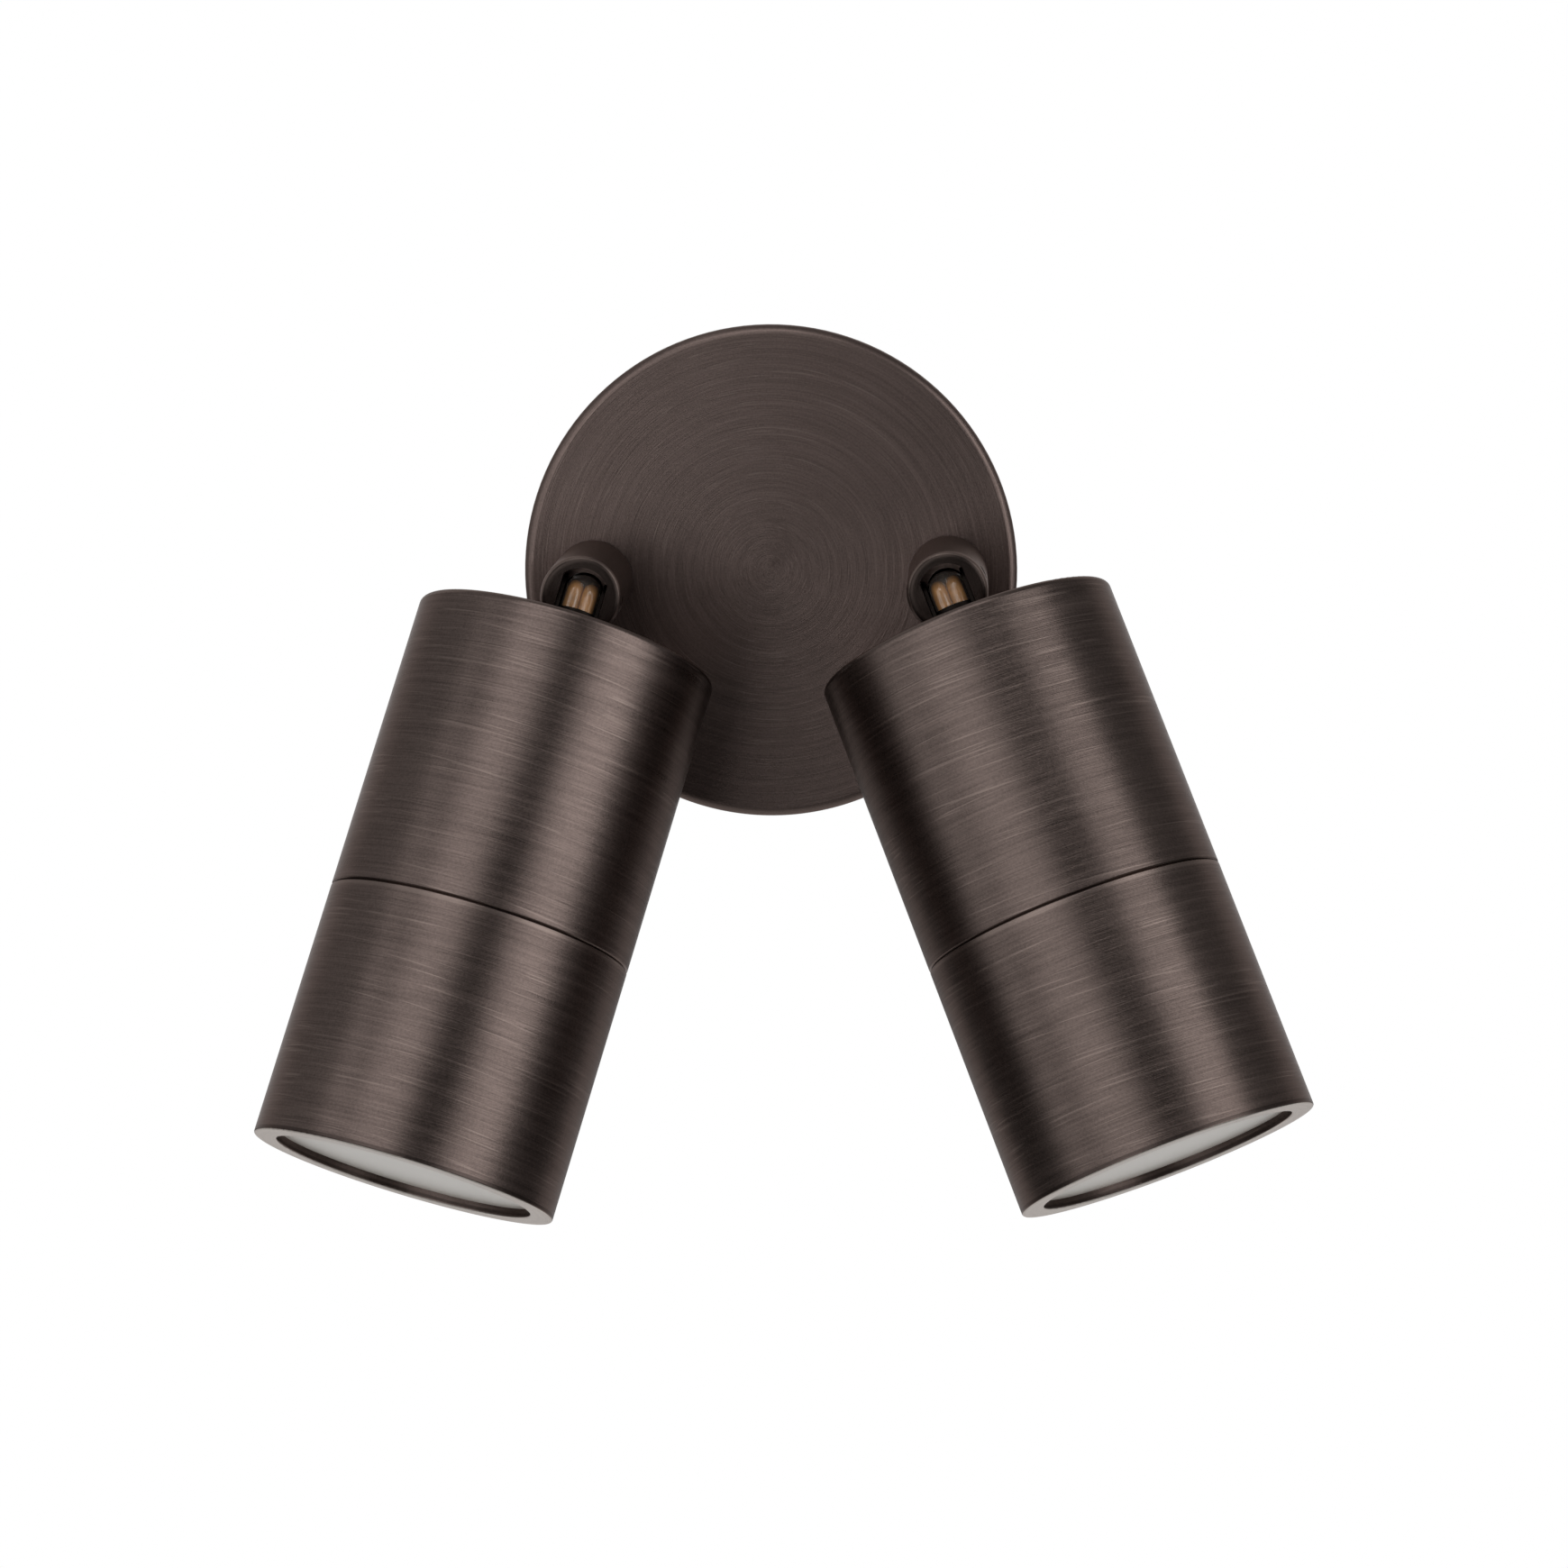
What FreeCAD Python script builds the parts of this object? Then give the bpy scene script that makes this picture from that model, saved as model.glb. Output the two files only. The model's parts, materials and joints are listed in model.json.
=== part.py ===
# Twin wall spot: a round canopy with two swivelling posts, and a tilting lamp head on each post.
# Row frame: +Z is up, the wall is the plane Y = 0 and the light leaves towards -Y.
# The origin is the centre of the canopy on the wall. All sizes are in millimetres.
import FreeCAD, Part
import math
import os
from types import SimpleNamespace

import Sketcher
from FreeCAD import Placement, Rotation, Vector

# Driving dimensions: alias in the sheet, value, meaning.
DIMENSIONS = [
    ("canopy_radius", 50, "radius of the canopy's face"),
    ("canopy_depth", 20, "from the wall to the canopy's face"),
    ("rim_depth", 4, "depth of the full-width rim behind the face"),
    ("rim_overhang", 2, "how far the rim stands out past the skirt"),
    ("skirt_wall", 2, "wall of the canopy's skirt"),
    ("face_wall", 3, "thickness of the canopy's face"),
    ("canopy_edge", 1.8, "radius of the canopy's front edge"),
    ("rim_edge", 0.4, "radius of the rim's back edge"),
    ("gasket_depth", 1.5, "foam ring between skirt and wall"),
    ("plate_radius", 40, "mounting bracket disc"),
    ("plate_wall", 2, "mounting bracket sheet"),
    ("slot_pitch", 64, "between the two wall screw slots"),
    ("slot_run", 10, "end-to-end length of a wall screw slot"),
    ("slot_radius", 2.4, "half the width of a wall screw slot"),
    ("tab_reach", 44, "from the centre to a tab's outer face"),
    ("tab_width", 14, "width of a tab"),
    ("tab_rise", 12, "height of a tab above the wall"),
    ("set_screw_radius", 2, "M4 set screws in skirt and post"),
    ("set_screw_level", 8, "height of the canopy's set screws above the wall"),
    ("screw_proud", 1, "how far a canopy set screw passes its tab"),
    ("screw_sunk", 0.4, "how far a set screw sits below the surface"),
    ("socket_radius", 1.15, "hexagon socket of a set screw, across corners / 2"),
    ("socket_depth", 1.4, "hexagon socket of a set screw"),
    ("cable_offset", 12, "cable hole above the bracket's centre"),
    ("cable_radius", 7, "cable hole"),
    ("grommet_bore", 4.2, "bore of the cable grommet"),
    ("grommet_lip", 2, "how far the grommet's lip covers the bracket"),
    ("grommet_edge", 1.4, "the grommet's lip at its outside"),
    ("grommet_rise", 2.4, "the grommet's lip at its bore"),
    ("block_length", 37, "terminal block along X"),
    ("block_width", 16, "terminal block along the wall, up and down"),
    ("block_height", 10, "terminal block off the bracket"),
    ("block_drop", 17, "terminal block's centre below the bracket's centre"),
    ("fixing_radius", 1.4, "screw that holds the terminal block"),
    ("fixing_tip", 0.3, "from the wall to the tips of the bracket's screws"),
    ("earth_reach", 24, "earth screw beside the bracket's centre"),
    ("pole_pitch", 9, "between two poles of the terminal block"),
    ("pole_bore", 1.7, "screw hole of a pole"),
    ("entry_bore", 1.5, "wire entry of a pole"),
    ("groove_width", 0.6, "slot in a clamping screw"),
    ("groove_depth", 0.8, "slot in a clamping screw"),
    ("earth_washer", 0.8, "thickness of the earth screw's washer"),
    ("earth_washer_radius", 5, "earth screw's washer"),
    ("earth_head", 2.6, "height of the earth screw's head"),
    ("earth_head_radius", 3.8, "earth screw's head"),
    ("pole_level", 5.5, "height of the wire entries above the wall"),
    ("post_spacing", 72, "between the two post axes"),
    ("post_drop", 1, "post axes below the canopy's centre"),
    ("post_radius", 8, "outside of a post"),
    ("post_length", 37, "from the canopy's face to a post's end"),
    ("post_bore", 3.9, "bore of a post"),
    ("post_edge", 1.4, "radius of a post's outer edge"),
    ("post_washer", 0.6, "nylon washer under a post"),
    ("tail_radius", 5, "threaded tail of a post, and of a stem"),
    ("tail_length", 9.2, "tail behind the canopy's face"),
    ("nut_across", 14, "across the flats of the thin lock nuts"),
    ("nut_depth", 4, "thickness of a lock nut"),
    ("washer_depth", 1.2, "spring washer under a lock nut"),
    ("running_gap", 0.06, "radial play of the turning fits"),
    ("screw_gap", 0.1, "radial play of screws in plain holes"),
    ("thread_gap", 0.02, "radial play of threads, drawn as plain cylinders"),
    ("hinge_out", 32, "from the canopy's face to the tilt axis"),
    ("fork_slot", 4.5, "half the width of the slot in a post's end"),
    ("fork_arc", 5.7, "radius of the slot's closed end, about the post's axis"),
    ("fork_depth", 10, "depth of the slot from the post's end"),
    ("pivot_radius", 1.2, "dog points that a stem turns on"),
    ("pivot_shoulder", 0.1, "from the slot's side to a pivot screw's thread"),
    ("left_swivel", 17.4, "left head outward from straight down, degrees"),
    ("left_tilt", 19.25, "left head out from the wall, degrees"),
    ("right_swivel", 21.05, "right head outward from straight down, degrees"),
    ("right_tilt", 17.2, "right head out from the wall, degrees"),
    ("stem_radius", 4.35, "outside of a stem's shank"),
    ("stem_bore", 3.7, "bore of a stem"),
    ("ear_radius", 3.2, "round end of a stem's ears"),
    ("shank_start", 4, "from the tilt axis to the stem's closed shank"),
    ("collar_radius", 6.5, "stem's collar on the head"),
    ("collar_depth", 1.2, "thickness of the collar"),
    ("stem_end", 20.5, "from the tilt axis to the stem's inner end"),
    ("head_gap", 10.2, "from the tilt axis to the head's rear face"),
    ("head_radius", 30, "outside of a head"),
    ("rear_length", 59.7, "rear shell, outside"),
    ("front_length", 50.7, "front shell, outside"),
    ("rear_edge", 1.2, "radius of the head's rear edge"),
    ("front_edge", 0.4, "radius of the head's front edges"),
    ("seam_edge", 0.3, "chamfer of both shells at the seam"),
    ("rear_wall", 4, "end plate of the rear shell"),
    ("rear_lip", 1.5, "how far the rear shell's lip covers the end plate's edge"),
    ("rear_lip_depth", 1, "thickness of that lip"),
    ("shell_wall", 2.5, "side wall of the rear shell"),
    ("thread_radius", 28.35, "screwed joint of the two shells"),
    ("thread_length", 10, "length of the screwed joint"),
    ("thread_play", 0.05, "play of the screwed joint, and of stem and end plate"),
    ("ring_wire", 0.5, "half the section of the O-rings"),
    ("ring_back", 2, "from the seam to its O-ring"),
    ("ring_play", 0.15, "play of the O-ring in its groove"),
    ("front_bore", 26.8, "inside of the front shell"),
    ("lip_bore", 25.5, "opening in front of the glass"),
    ("lip_wall", 1.9, "from the front face to the glass"),
    ("glass_radius", 26.6, "front glass"),
    ("glass_wall", 3, "thickness of the glass"),
    ("glass_edge", 0.4, "ground edge of the glass"),
    ("glass_gasket", 2, "silicone ring behind the glass"),
    ("glass_ring", 1.5, "snap ring behind the silicone ring"),
    ("lamp_radius", 25, "reflector lamp"),
    ("lamp_length", 50, "lamp without its pins"),
    ("lamp_base", 11.5, "radius of the lamp's base"),
    ("lamp_neck", 12, "height of the lamp's base"),
    ("lamp_bulge", 48, "radius of the reflector's bulge"),
    ("lamp_rim", 5, "height of the lamp's rim"),
    ("rim_ease", 1, "rounding of the rim, and depth of the front lens"),
    ("lamp_gap", 1, "between the silicone ring and the lamp's front"),
    ("pin_pitch", 10, "between the lamp's two pins"),
    ("pin_radius", 1.5, "pin of the lamp"),
    ("pin_length", 7, "pin of the lamp"),
    ("pin_head_radius", 2.5, "bayonet head of a pin"),
    ("pin_head_length", 1.8, "bayonet head of a pin"),
    ("pin_room", 0.25, "play of the pins in the holder"),
    ("holder_radius", 13, "ceramic lamp holder"),
    ("holder_length", 18, "ceramic lamp holder"),
    ("holder_edge", 0.8, "rounded edges of the holder"),
    ("holder_screws", 9.5, "each screw's distance from the holder's axis"),
    ("holder_screw_depth", 7, "screws' reach past the strap"),
    ("leg_spread", 16, "half the spread of the holder bracket's legs"),
    ("foot_spread", 24, "half the spread of the holder bracket's feet"),
    ("strap_wall", 1.5, "sheet of the holder bracket"),
    ("strap_width", 12, "width of the holder bracket"),
    ("strap_hole", 4, "hole in the strap for the wires"),
    ("foot_inset", 3.5, "from a foot's end to its screw"),
    ("small_screw", 1.45, "shank radius of the M3 screws"),
    ("small_head", 2.75, "head radius of the M3 screws"),
    ("small_head_height", 2, "head of the M3 screws"),
    ("screw_bottom", 1, "left of the end plate under its screw holes"),
    ("sleeve_radius", 3.6, "clear silicone sleeve, outside"),
    ("sleeve_wall", 0.5, "wall of the sleeve"),
    ("sleeve_end", 24, "from the tilt axis to the sleeve's end in the head"),
    ("bend_radius", 6, "bend of sleeve and wires in the slot"),
    ("wire_radius", 1.45, "insulated lamp wire"),
    ("wire_offset", 1.5, "each wire's axis from the sleeve's axis"),
    ("lane_gap", 0.3, "between the wires that cross inside the canopy"),
    ("lane_bend", 0.45, "share of a run that its bend may take"),
]

SIDES = {"left": -1, "right": 1}
CLOSE = 1e-4


class Size:
    """A number together with the sheet expression that gives it."""

    def __init__(self, value, text):
        self.value = value
        self.text = text

    def __add__(self, other):
        other = as_size(other)
        return Size(self.value + other.value, f"({self.text} + {other.text})")

    def __sub__(self, other):
        other = as_size(other)
        return Size(self.value - other.value, f"({self.text} - {other.text})")

    def __mul__(self, other):
        other = as_size(other)
        return Size(self.value * other.value, f"({self.text} * {other.text})")

    def __truediv__(self, other):
        other = as_size(other)
        return Size(self.value / other.value, f"({self.text} / {other.text})")

    def __neg__(self):
        return Size(-self.value, f"(0 - {self.text})")

    __radd__ = __add__
    __rmul__ = __mul__

    def __rsub__(self, other):
        return as_size(other) - self


def as_size(number):
    if isinstance(number, Size):
        return number
    return Size(float(number), repr(float(number)))


def root(size):
    return Size(math.sqrt(size.value), f"sqrt({size.text})")


def sine(angle):
    return Size(math.sin(math.radians(angle.value)), f"sin({angle.text} * 1 deg)")


def cosine(angle):
    return Size(math.cos(math.radians(angle.value)), f"cos({angle.text} * 1 deg)")


def tangent(angle):
    return Size(math.tan(math.radians(angle.value)), f"tan({angle.text} * 1 deg)")


doc = FreeCAD.newDocument("WallSpot")


def make_sheet():
    """Fill the spreadsheet and hand back each cell as a Size."""
    sheet = doc.addObject("Spreadsheet::Sheet", "Sizes")
    cells = {}
    for row, (alias, value, meaning) in enumerate(DIMENSIONS, start=1):
        sheet.set(f"A{row}", alias)
        sheet.set(f"B{row}", str(value))
        sheet.set(f"C{row}", meaning)
        sheet.setAlias(f"B{row}", alias)
        cells[alias] = Size(float(value), f"Sizes.{alias}")
    doc.recompute()
    return SimpleNamespace(**cells)


size = make_sheet()
nodes = []


# Frames of the fixed part, the posts and the heads

WALL = Placement(Vector(0, 0, 0), Rotation(Vector(1, 0, 0), 90))


def side_angles(side):
    return getattr(size, f"{side}_swivel"), getattr(size, f"{side}_tilt")


def side_directions(side):
    """The way the head hangs, its tilt axis and its own axis, as unit vectors."""
    swivel, tilt = (math.radians(angle.value) for angle in side_angles(side))
    hang = Vector(SIDES[side] * math.sin(swivel), 0, -math.cos(swivel))
    hinge = Vector(-math.cos(swivel), 0, -SIDES[side] * math.sin(swivel))
    axis = hang * math.cos(tilt) + Vector(0, -math.sin(tilt), 0)
    return hang, hinge, axis


def post_frame(side):
    """Z runs out along the post from the canopy's face, X is the tilt axis, Y the way the head hangs."""
    hang, hinge, _ = side_directions(side)
    foot = Vector(SIDES[side] * size.post_spacing.value / 2, -size.canopy_depth.value, -size.post_drop.value)
    return Placement(foot, Rotation(hinge, hang, Vector(0, -1, 0), "ZXY"))


def head_frame(side):
    """Z runs from the tilt axis towards the light's front, X is the tilt axis."""
    _, hinge, axis = side_directions(side)
    pivot = post_frame(side).multVec(Vector(0, 0, size.hinge_out.value))
    return Placement(pivot, Rotation(hinge, axis.cross(hinge), axis, "ZXY"))


# Sketches and features

def bind(feature, prop, number):
    """Set a length of a feature from the sheet."""
    feature.setExpression(prop, as_size(number).text)


def new_sketch(body, plane, offset=None):
    """A sketch on one of the body's own origin planes, moved along that plane's normal."""
    sketch = body.newObject("Sketcher::SketchObject", body.Name + "_sketch")
    for feature in body.Origin.OriginFeatures:
        if feature.Role == plane:
            sketch.AttachmentSupport = [(feature, "")]
    sketch.MapMode = "FlatFace"
    if offset is not None:
        bind(sketch, ".AttachmentOffset.Base.z", offset)
    return sketch


def fix_point(sketch, edge, end, point):
    """Give one end of a sketch edge its coordinates."""
    for kind, axis, number in (("DistanceX", -2, point[0]), ("DistanceY", -1, point[1])):
        number = as_size(number)
        if abs(number.value) < CLOSE:
            sketch.addConstraint(Sketcher.Constraint("PointOnObject", edge, end, axis))
        else:
            index = sketch.addConstraint(Sketcher.Constraint(kind, -1, 1, edge, end, number.value))
            bind(sketch, f"Constraints[{index}]", number)


def arc_between(start, end, radius, turn):
    """An arc from start to end; turn is 1 with the centre on the left of the way, -1 on the right."""
    chord = end - start
    rise = math.sqrt(radius * radius - chord.Length * chord.Length / 4)
    left = Vector(-chord.y, chord.x, 0) * (1 / chord.Length)
    centre = (start + end) * 0.5 + left * rise * turn
    first, last = (start, end) if turn > 0 else (end, start)
    angles = [math.atan2(spot.y - centre.y, spot.x - centre.x) for spot in (first, last)]
    return Part.ArcOfCircle(Part.Circle(centre, Vector(0, 0, 1), radius), angles[0], angles[1])


def draw(sketch, points, bends=None, closed=True):
    """Draw an outline; bends maps a stretch's number to (radius, turn) where it is an arc."""
    bends = bends or {}
    spots = [Vector(as_size(x).value, as_size(y).value, 0) for x, y in points]
    stretches = []
    for number in range(len(points) if closed else len(points) - 1):
        start = spots[number]
        end = spots[(number + 1) % len(spots)]
        if number in bends:
            radius, turn = bends[number]
            edge = sketch.addGeometry(arc_between(start, end, radius.value, turn))
            index = sketch.addConstraint(Sketcher.Constraint("Radius", edge, radius.value))
            bind(sketch, f"Constraints[{index}]", radius)
            stretches.append((edge, 1, 2) if turn > 0 else (edge, 2, 1))
        else:
            stretches.append((sketch.addGeometry(Part.LineSegment(start, end)), 1, 2))
    for number, (edge, start_end, far_end) in enumerate(stretches):
        fix_point(sketch, edge, start_end, points[number])
        if number > 0 or closed:
            before, _, before_end = stretches[number - 1]
            sketch.addConstraint(Sketcher.Constraint("Coincident", before, before_end, edge, start_end))
    if not closed:
        edge, _, far_end = stretches[-1]
        fix_point(sketch, edge, far_end, points[-1])


def draw_circle(sketch, centre, radius):
    spot = Vector(as_size(centre[0]).value, as_size(centre[1]).value, 0)
    radius = as_size(radius)
    edge = sketch.addGeometry(Part.Circle(spot, Vector(0, 0, 1), radius.value))
    if spot.Length < CLOSE:
        sketch.addConstraint(Sketcher.Constraint("Coincident", edge, 3, -1, 1))
    else:
        fix_point(sketch, edge, 3, centre)
    index = sketch.addConstraint(Sketcher.Constraint("Radius", edge, radius.value))
    bind(sketch, f"Constraints[{index}]", radius)


def revolve(body, points, bends=None):
    """A turned solid about the body's Z axis, from an outline of (radius, height) points."""
    sketch = new_sketch(body, "XZ_Plane")
    draw(sketch, points, bends)
    feature = body.newObject("PartDesign::Revolution", body.Name + "_turned")
    feature.Profile = sketch
    feature.ReferenceAxis = (sketch, ["V_Axis"])
    feature.Angle = 360
    doc.recompute()
    return feature


def pad(body, sketch, length, back=False, both=False):
    feature = body.newObject("PartDesign::Pad", body.Name + "_pad")
    feature.Profile = sketch
    feature.SideType = "Symmetric" if both else "One side"
    feature.Reversed = back
    bind(feature, "Length", length)
    doc.recompute()
    return feature


def pocket(body, sketch, length=None, forward=False):
    """Cut a sketch out of the body: right through both ways, or to a length on one side."""
    before = body.Shape.Volume
    feature = body.newObject("PartDesign::Pocket", body.Name + "_pocket")
    feature.Profile = sketch
    if length is None:
        feature.Type = "ThroughAll"
        feature.SideType = "Symmetric"
    else:
        feature.Reversed = forward
        bind(feature, "Length", length)
    doc.recompute()
    if body.Shape.Volume > before - CLOSE:
        raise ValueError(f"a pocket of {body.Label} cuts nothing")
    return feature


def round_edges(body, radius, spots):
    """Round the circular edges that lie at the given (radius, height) places."""
    base = body.Tip
    names = []
    for number, edge in enumerate(base.Shape.Edges, start=1):
        curve = edge.Curve
        if not isinstance(curve, Part.Circle):
            continue
        for spot_radius, height in spots:
            same_radius = abs(curve.Radius - as_size(spot_radius).value) < CLOSE
            if same_radius and abs(curve.Center.z - as_size(height).value) < CLOSE:
                names.append(f"Edge{number}")
    if len(names) < len(spots):
        raise ValueError(f"an edge of {body.Label} to be rounded is missing")
    feature = body.newObject("PartDesign::Fillet", body.Name + "_round")
    feature.Base = (base, names)
    bind(feature, "Radius", radius)
    doc.recompute()
    return feature


def new_body(label):
    body = doc.addObject("PartDesign::Body", label)
    body.Label = label
    return body


def finish(part, place):
    """Put a finished sub-part in its place and list it for export."""
    part.Placement = place
    nodes.append(part)
    return part


def turned(label, place, points, bends=None, rounds=()):
    """A whole sub-part that is only turned, with some of its edges rounded."""
    body = new_body(label)
    revolve(body, points, bends)
    for radius, spots in rounds:
        round_edges(body, radius, spots)
    return finish(body, place)


def ring(label, place, inner, outer, low, high):
    """A plain flat ring, such as a washer."""
    return turned(label, place, [(inner, low), (outer, low), (outer, high), (inner, high)])


def torus(label, place, radius, wire, height):
    """An O-ring round the Z axis."""
    part = doc.addObject("Part::Torus", label)
    part.Label = label
    bind(part, "Radius1", radius)
    bind(part, "Radius2", wire)
    wrap = doc.addObject("Part::Compound", label + "_ring")
    bind(part, ".Placement.Base.z", height)
    part.Label = label + "_section"
    wrap.Links = [part]
    wrap.Label = label
    return finish(wrap, place)


def rod(name, radius, low, high, centre=(0, 0)):
    """A plain cylinder along Z."""
    part = doc.addObject("Part::Cylinder", name)
    bind(part, "Radius", radius)
    bind(part, "Height", as_size(high) - low)
    bind(part, ".Placement.Base.x", centre[0])
    bind(part, ".Placement.Base.y", centre[1])
    bind(part, ".Placement.Base.z", low)
    return part


def fused(name, pieces):
    part = doc.addObject("Part::MultiFuse", name)
    part.Shapes = pieces
    return part


def cut(name, base, tool):
    part = doc.addObject("Part::Cut", name)
    part.Base = base
    part.Tool = tool
    return part


def group(label, place, pieces):
    """Several loose solids, such as like screws, that share one node."""
    part = doc.addObject("Part::Compound", label)
    part.Label = label
    part.Links = pieces
    return finish(part, place)


def hexagon(name, across_corners, low, high):
    part = doc.addObject("Part::Prism", name)
    part.Polygon = 6
    bind(part, "Circumradius", across_corners)
    bind(part, "Height", as_size(high) - low)
    bind(part, ".Placement.Base.z", low)
    return part


def set_screw(name, low, high, dog=None):
    """A set screw along Z with a hexagon socket in its top, and a dog point down to dog."""
    pieces = [rod(name + "_shank", size.set_screw_radius, low, high)]
    if dog is not None:
        pieces.append(rod(name + "_dog", size.pivot_radius, dog, as_size(low) + size.screw_sunk))
    body = fused(name + "_body", pieces) if len(pieces) > 1 else pieces[0]
    mouth = as_size(high) + size.socket_depth
    socket = hexagon(name + "_socket", size.socket_radius, as_size(high) - size.socket_depth, mouth)
    return cut(name, body, socket)


def pan_screw(name, low, head_low, head_high, centre, downward=False):
    """A small pan-head screw along Z; low is its tip."""
    if downward:
        shank = rod(name + "_shank", size.small_screw, head_high, low, centre)
    else:
        shank = rod(name + "_shank", size.small_screw, low, head_low, centre)
    head = rod(name + "_head", size.small_head, head_low, head_high, centre)
    return fused(name, [shank, head])


# Fixed to the wall

def make_canopy():
    """Turned cup: brushed face, rim, narrower skirt, two post holes and two set screw holes."""
    body = new_body("canopy")
    skirt = size.canopy_radius - size.rim_overhang
    revolve(body, [
        (0, size.canopy_depth),
        (size.canopy_radius, size.canopy_depth),
        (size.canopy_radius, size.canopy_depth - size.rim_depth),
        (skirt, size.canopy_depth - size.rim_depth),
        (skirt, size.gasket_depth),
        (skirt - size.skirt_wall, size.gasket_depth),
        (skirt - size.skirt_wall, size.canopy_depth - size.face_wall),
        (0, size.canopy_depth - size.face_wall),
    ])
    holes = new_sketch(body, "XY_Plane")
    for sign in SIDES.values():
        centre = (sign * size.post_spacing / 2, -size.post_drop)
        draw_circle(holes, centre, size.tail_radius + size.running_gap)
    pocket(body, holes)
    screws = new_sketch(body, "XZ_Plane")
    draw_circle(screws, (0, size.set_screw_level), size.set_screw_radius + size.screw_gap)
    pocket(body, screws)
    round_edges(body, size.canopy_edge, [(size.canopy_radius, size.canopy_depth)])
    round_edges(body, size.rim_edge, [(size.canopy_radius, size.canopy_depth - size.rim_depth)])
    return finish(body, WALL)


def make_wall_gasket():
    outer = size.canopy_radius - size.rim_overhang - size.screw_gap
    return ring("wall_gasket", WALL, size.tab_reach + size.skirt_wall / 2, outer, 0, size.gasket_depth)


def slot_outline(centre_y):
    """An upright slot with round ends, for a wall screw."""
    half = size.slot_run / 2 - size.slot_radius
    radius = size.slot_radius
    points = [
        (radius, centre_y - half),
        (radius, centre_y + half),
        (0, centre_y + half + radius),
        (-radius, centre_y + half),
        (-radius, centre_y - half),
        (0, centre_y - half - radius),
    ]
    return points, {1: (radius, 1), 2: (radius, 1), 4: (radius, 1), 5: (radius, 1)}


def make_mounting_bracket():
    """Steel disc with two wall screw slots, a cable hole, and two tabs for the canopy's set screws."""
    body = new_body("mounting_bracket")
    half = size.tab_width / 2
    shoulder = root(size.plate_radius * size.plate_radius - half * half)
    disc = new_sketch(body, "XY_Plane")
    draw(disc, [
        (half, shoulder),
        (half, size.tab_reach),
        (-half, size.tab_reach),
        (-half, shoulder),
        (-half, -shoulder),
        (-half, -size.tab_reach),
        (half, -size.tab_reach),
        (half, -shoulder),
    ], {3: (size.plate_radius, 1), 7: (size.plate_radius, 1)})
    pad(body, disc, size.plate_wall)
    tabs = new_sketch(body, "XY_Plane")
    for sign in (1, -1):
        inner = (size.tab_reach - size.plate_wall) * sign
        outer = size.tab_reach * sign
        draw(tabs, [(-half, inner), (half, inner), (half, outer), (-half, outer)])
    pad(body, tabs, size.tab_rise)
    slots = new_sketch(body, "XY_Plane")
    for sign in (1, -1):
        draw(slots, *slot_outline(sign * size.slot_pitch / 2))
    draw_circle(slots, (0, size.cable_offset), size.cable_radius)
    draw_circle(slots, (0, -size.block_drop), size.fixing_radius + size.thread_gap)
    draw_circle(slots, (size.earth_reach, size.cable_offset), size.set_screw_radius + size.thread_gap)
    pocket(body, slots)
    threads = new_sketch(body, "XZ_Plane")
    draw_circle(threads, (0, size.set_screw_level), size.set_screw_radius + size.thread_gap)
    pocket(body, threads)
    return finish(body, WALL)


def make_canopy_screws():
    """Two set screws through the top and the bottom of the skirt into the bracket's tabs."""
    inner = size.tab_reach - size.plate_wall - size.screw_proud
    outer = size.canopy_radius - size.rim_overhang - size.screw_sunk
    screws = []
    for name, turn in (("canopy_screw_top", -90), ("canopy_screw_bottom", 90)):
        screw = set_screw(name, inner, outer)
        screw.Placement = Placement(Vector(0, 0, size.set_screw_level.value), Rotation(Vector(1, 0, 0), turn))
        screws.append(screw)
    return group("canopy_screws", WALL, screws)


def make_cable_grommet():
    place = WALL.multiply(Placement(Vector(0, size.cable_offset.value, 0), Rotation()))
    lip = size.cable_radius + size.grommet_lip
    return turned("cable_grommet", place, [
        (size.grommet_bore, 0),
        (size.cable_radius, 0),
        (size.cable_radius, size.plate_wall),
        (lip, size.plate_wall),
        (lip, size.plate_wall + size.grommet_edge),
        (size.grommet_bore, size.plate_wall + size.grommet_rise),
    ])


def pole_centres():
    """X of the four poles, two for each lamp."""
    return [size.pole_pitch * (number - 1.5) for number in range(4)]


def make_terminal_block():
    """Four-pole block: wire entries from above and below, screw holes from the front."""
    body = new_body("terminal_block")
    low = size.plate_wall
    outline = new_sketch(body, "XY_Plane", low)
    half_long = size.block_length / 2
    top = size.block_width / 2 - size.block_drop
    bottom = -size.block_width / 2 - size.block_drop
    draw(outline, [(-half_long, bottom), (half_long, bottom), (half_long, top), (-half_long, top)])
    pad(body, outline, size.block_height)
    entries = new_sketch(body, "XZ_Plane")
    for centre in pole_centres():
        draw_circle(entries, (centre, size.pole_level), size.entry_bore)
    pocket(body, entries)
    holes = new_sketch(body, "XY_Plane", low + size.block_height)
    for centre in pole_centres():
        for sign in (1, -1):
            draw_circle(holes, (centre, sign * size.block_width / 4 - size.block_drop), size.pole_bore)
    pocket(body, holes, low + size.block_height - size.pole_level)
    fixing = new_sketch(body, "XY_Plane")
    draw_circle(fixing, (0, -size.block_drop), size.fixing_radius + size.screw_gap)
    pocket(body, fixing)
    return finish(body, WALL)


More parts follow.
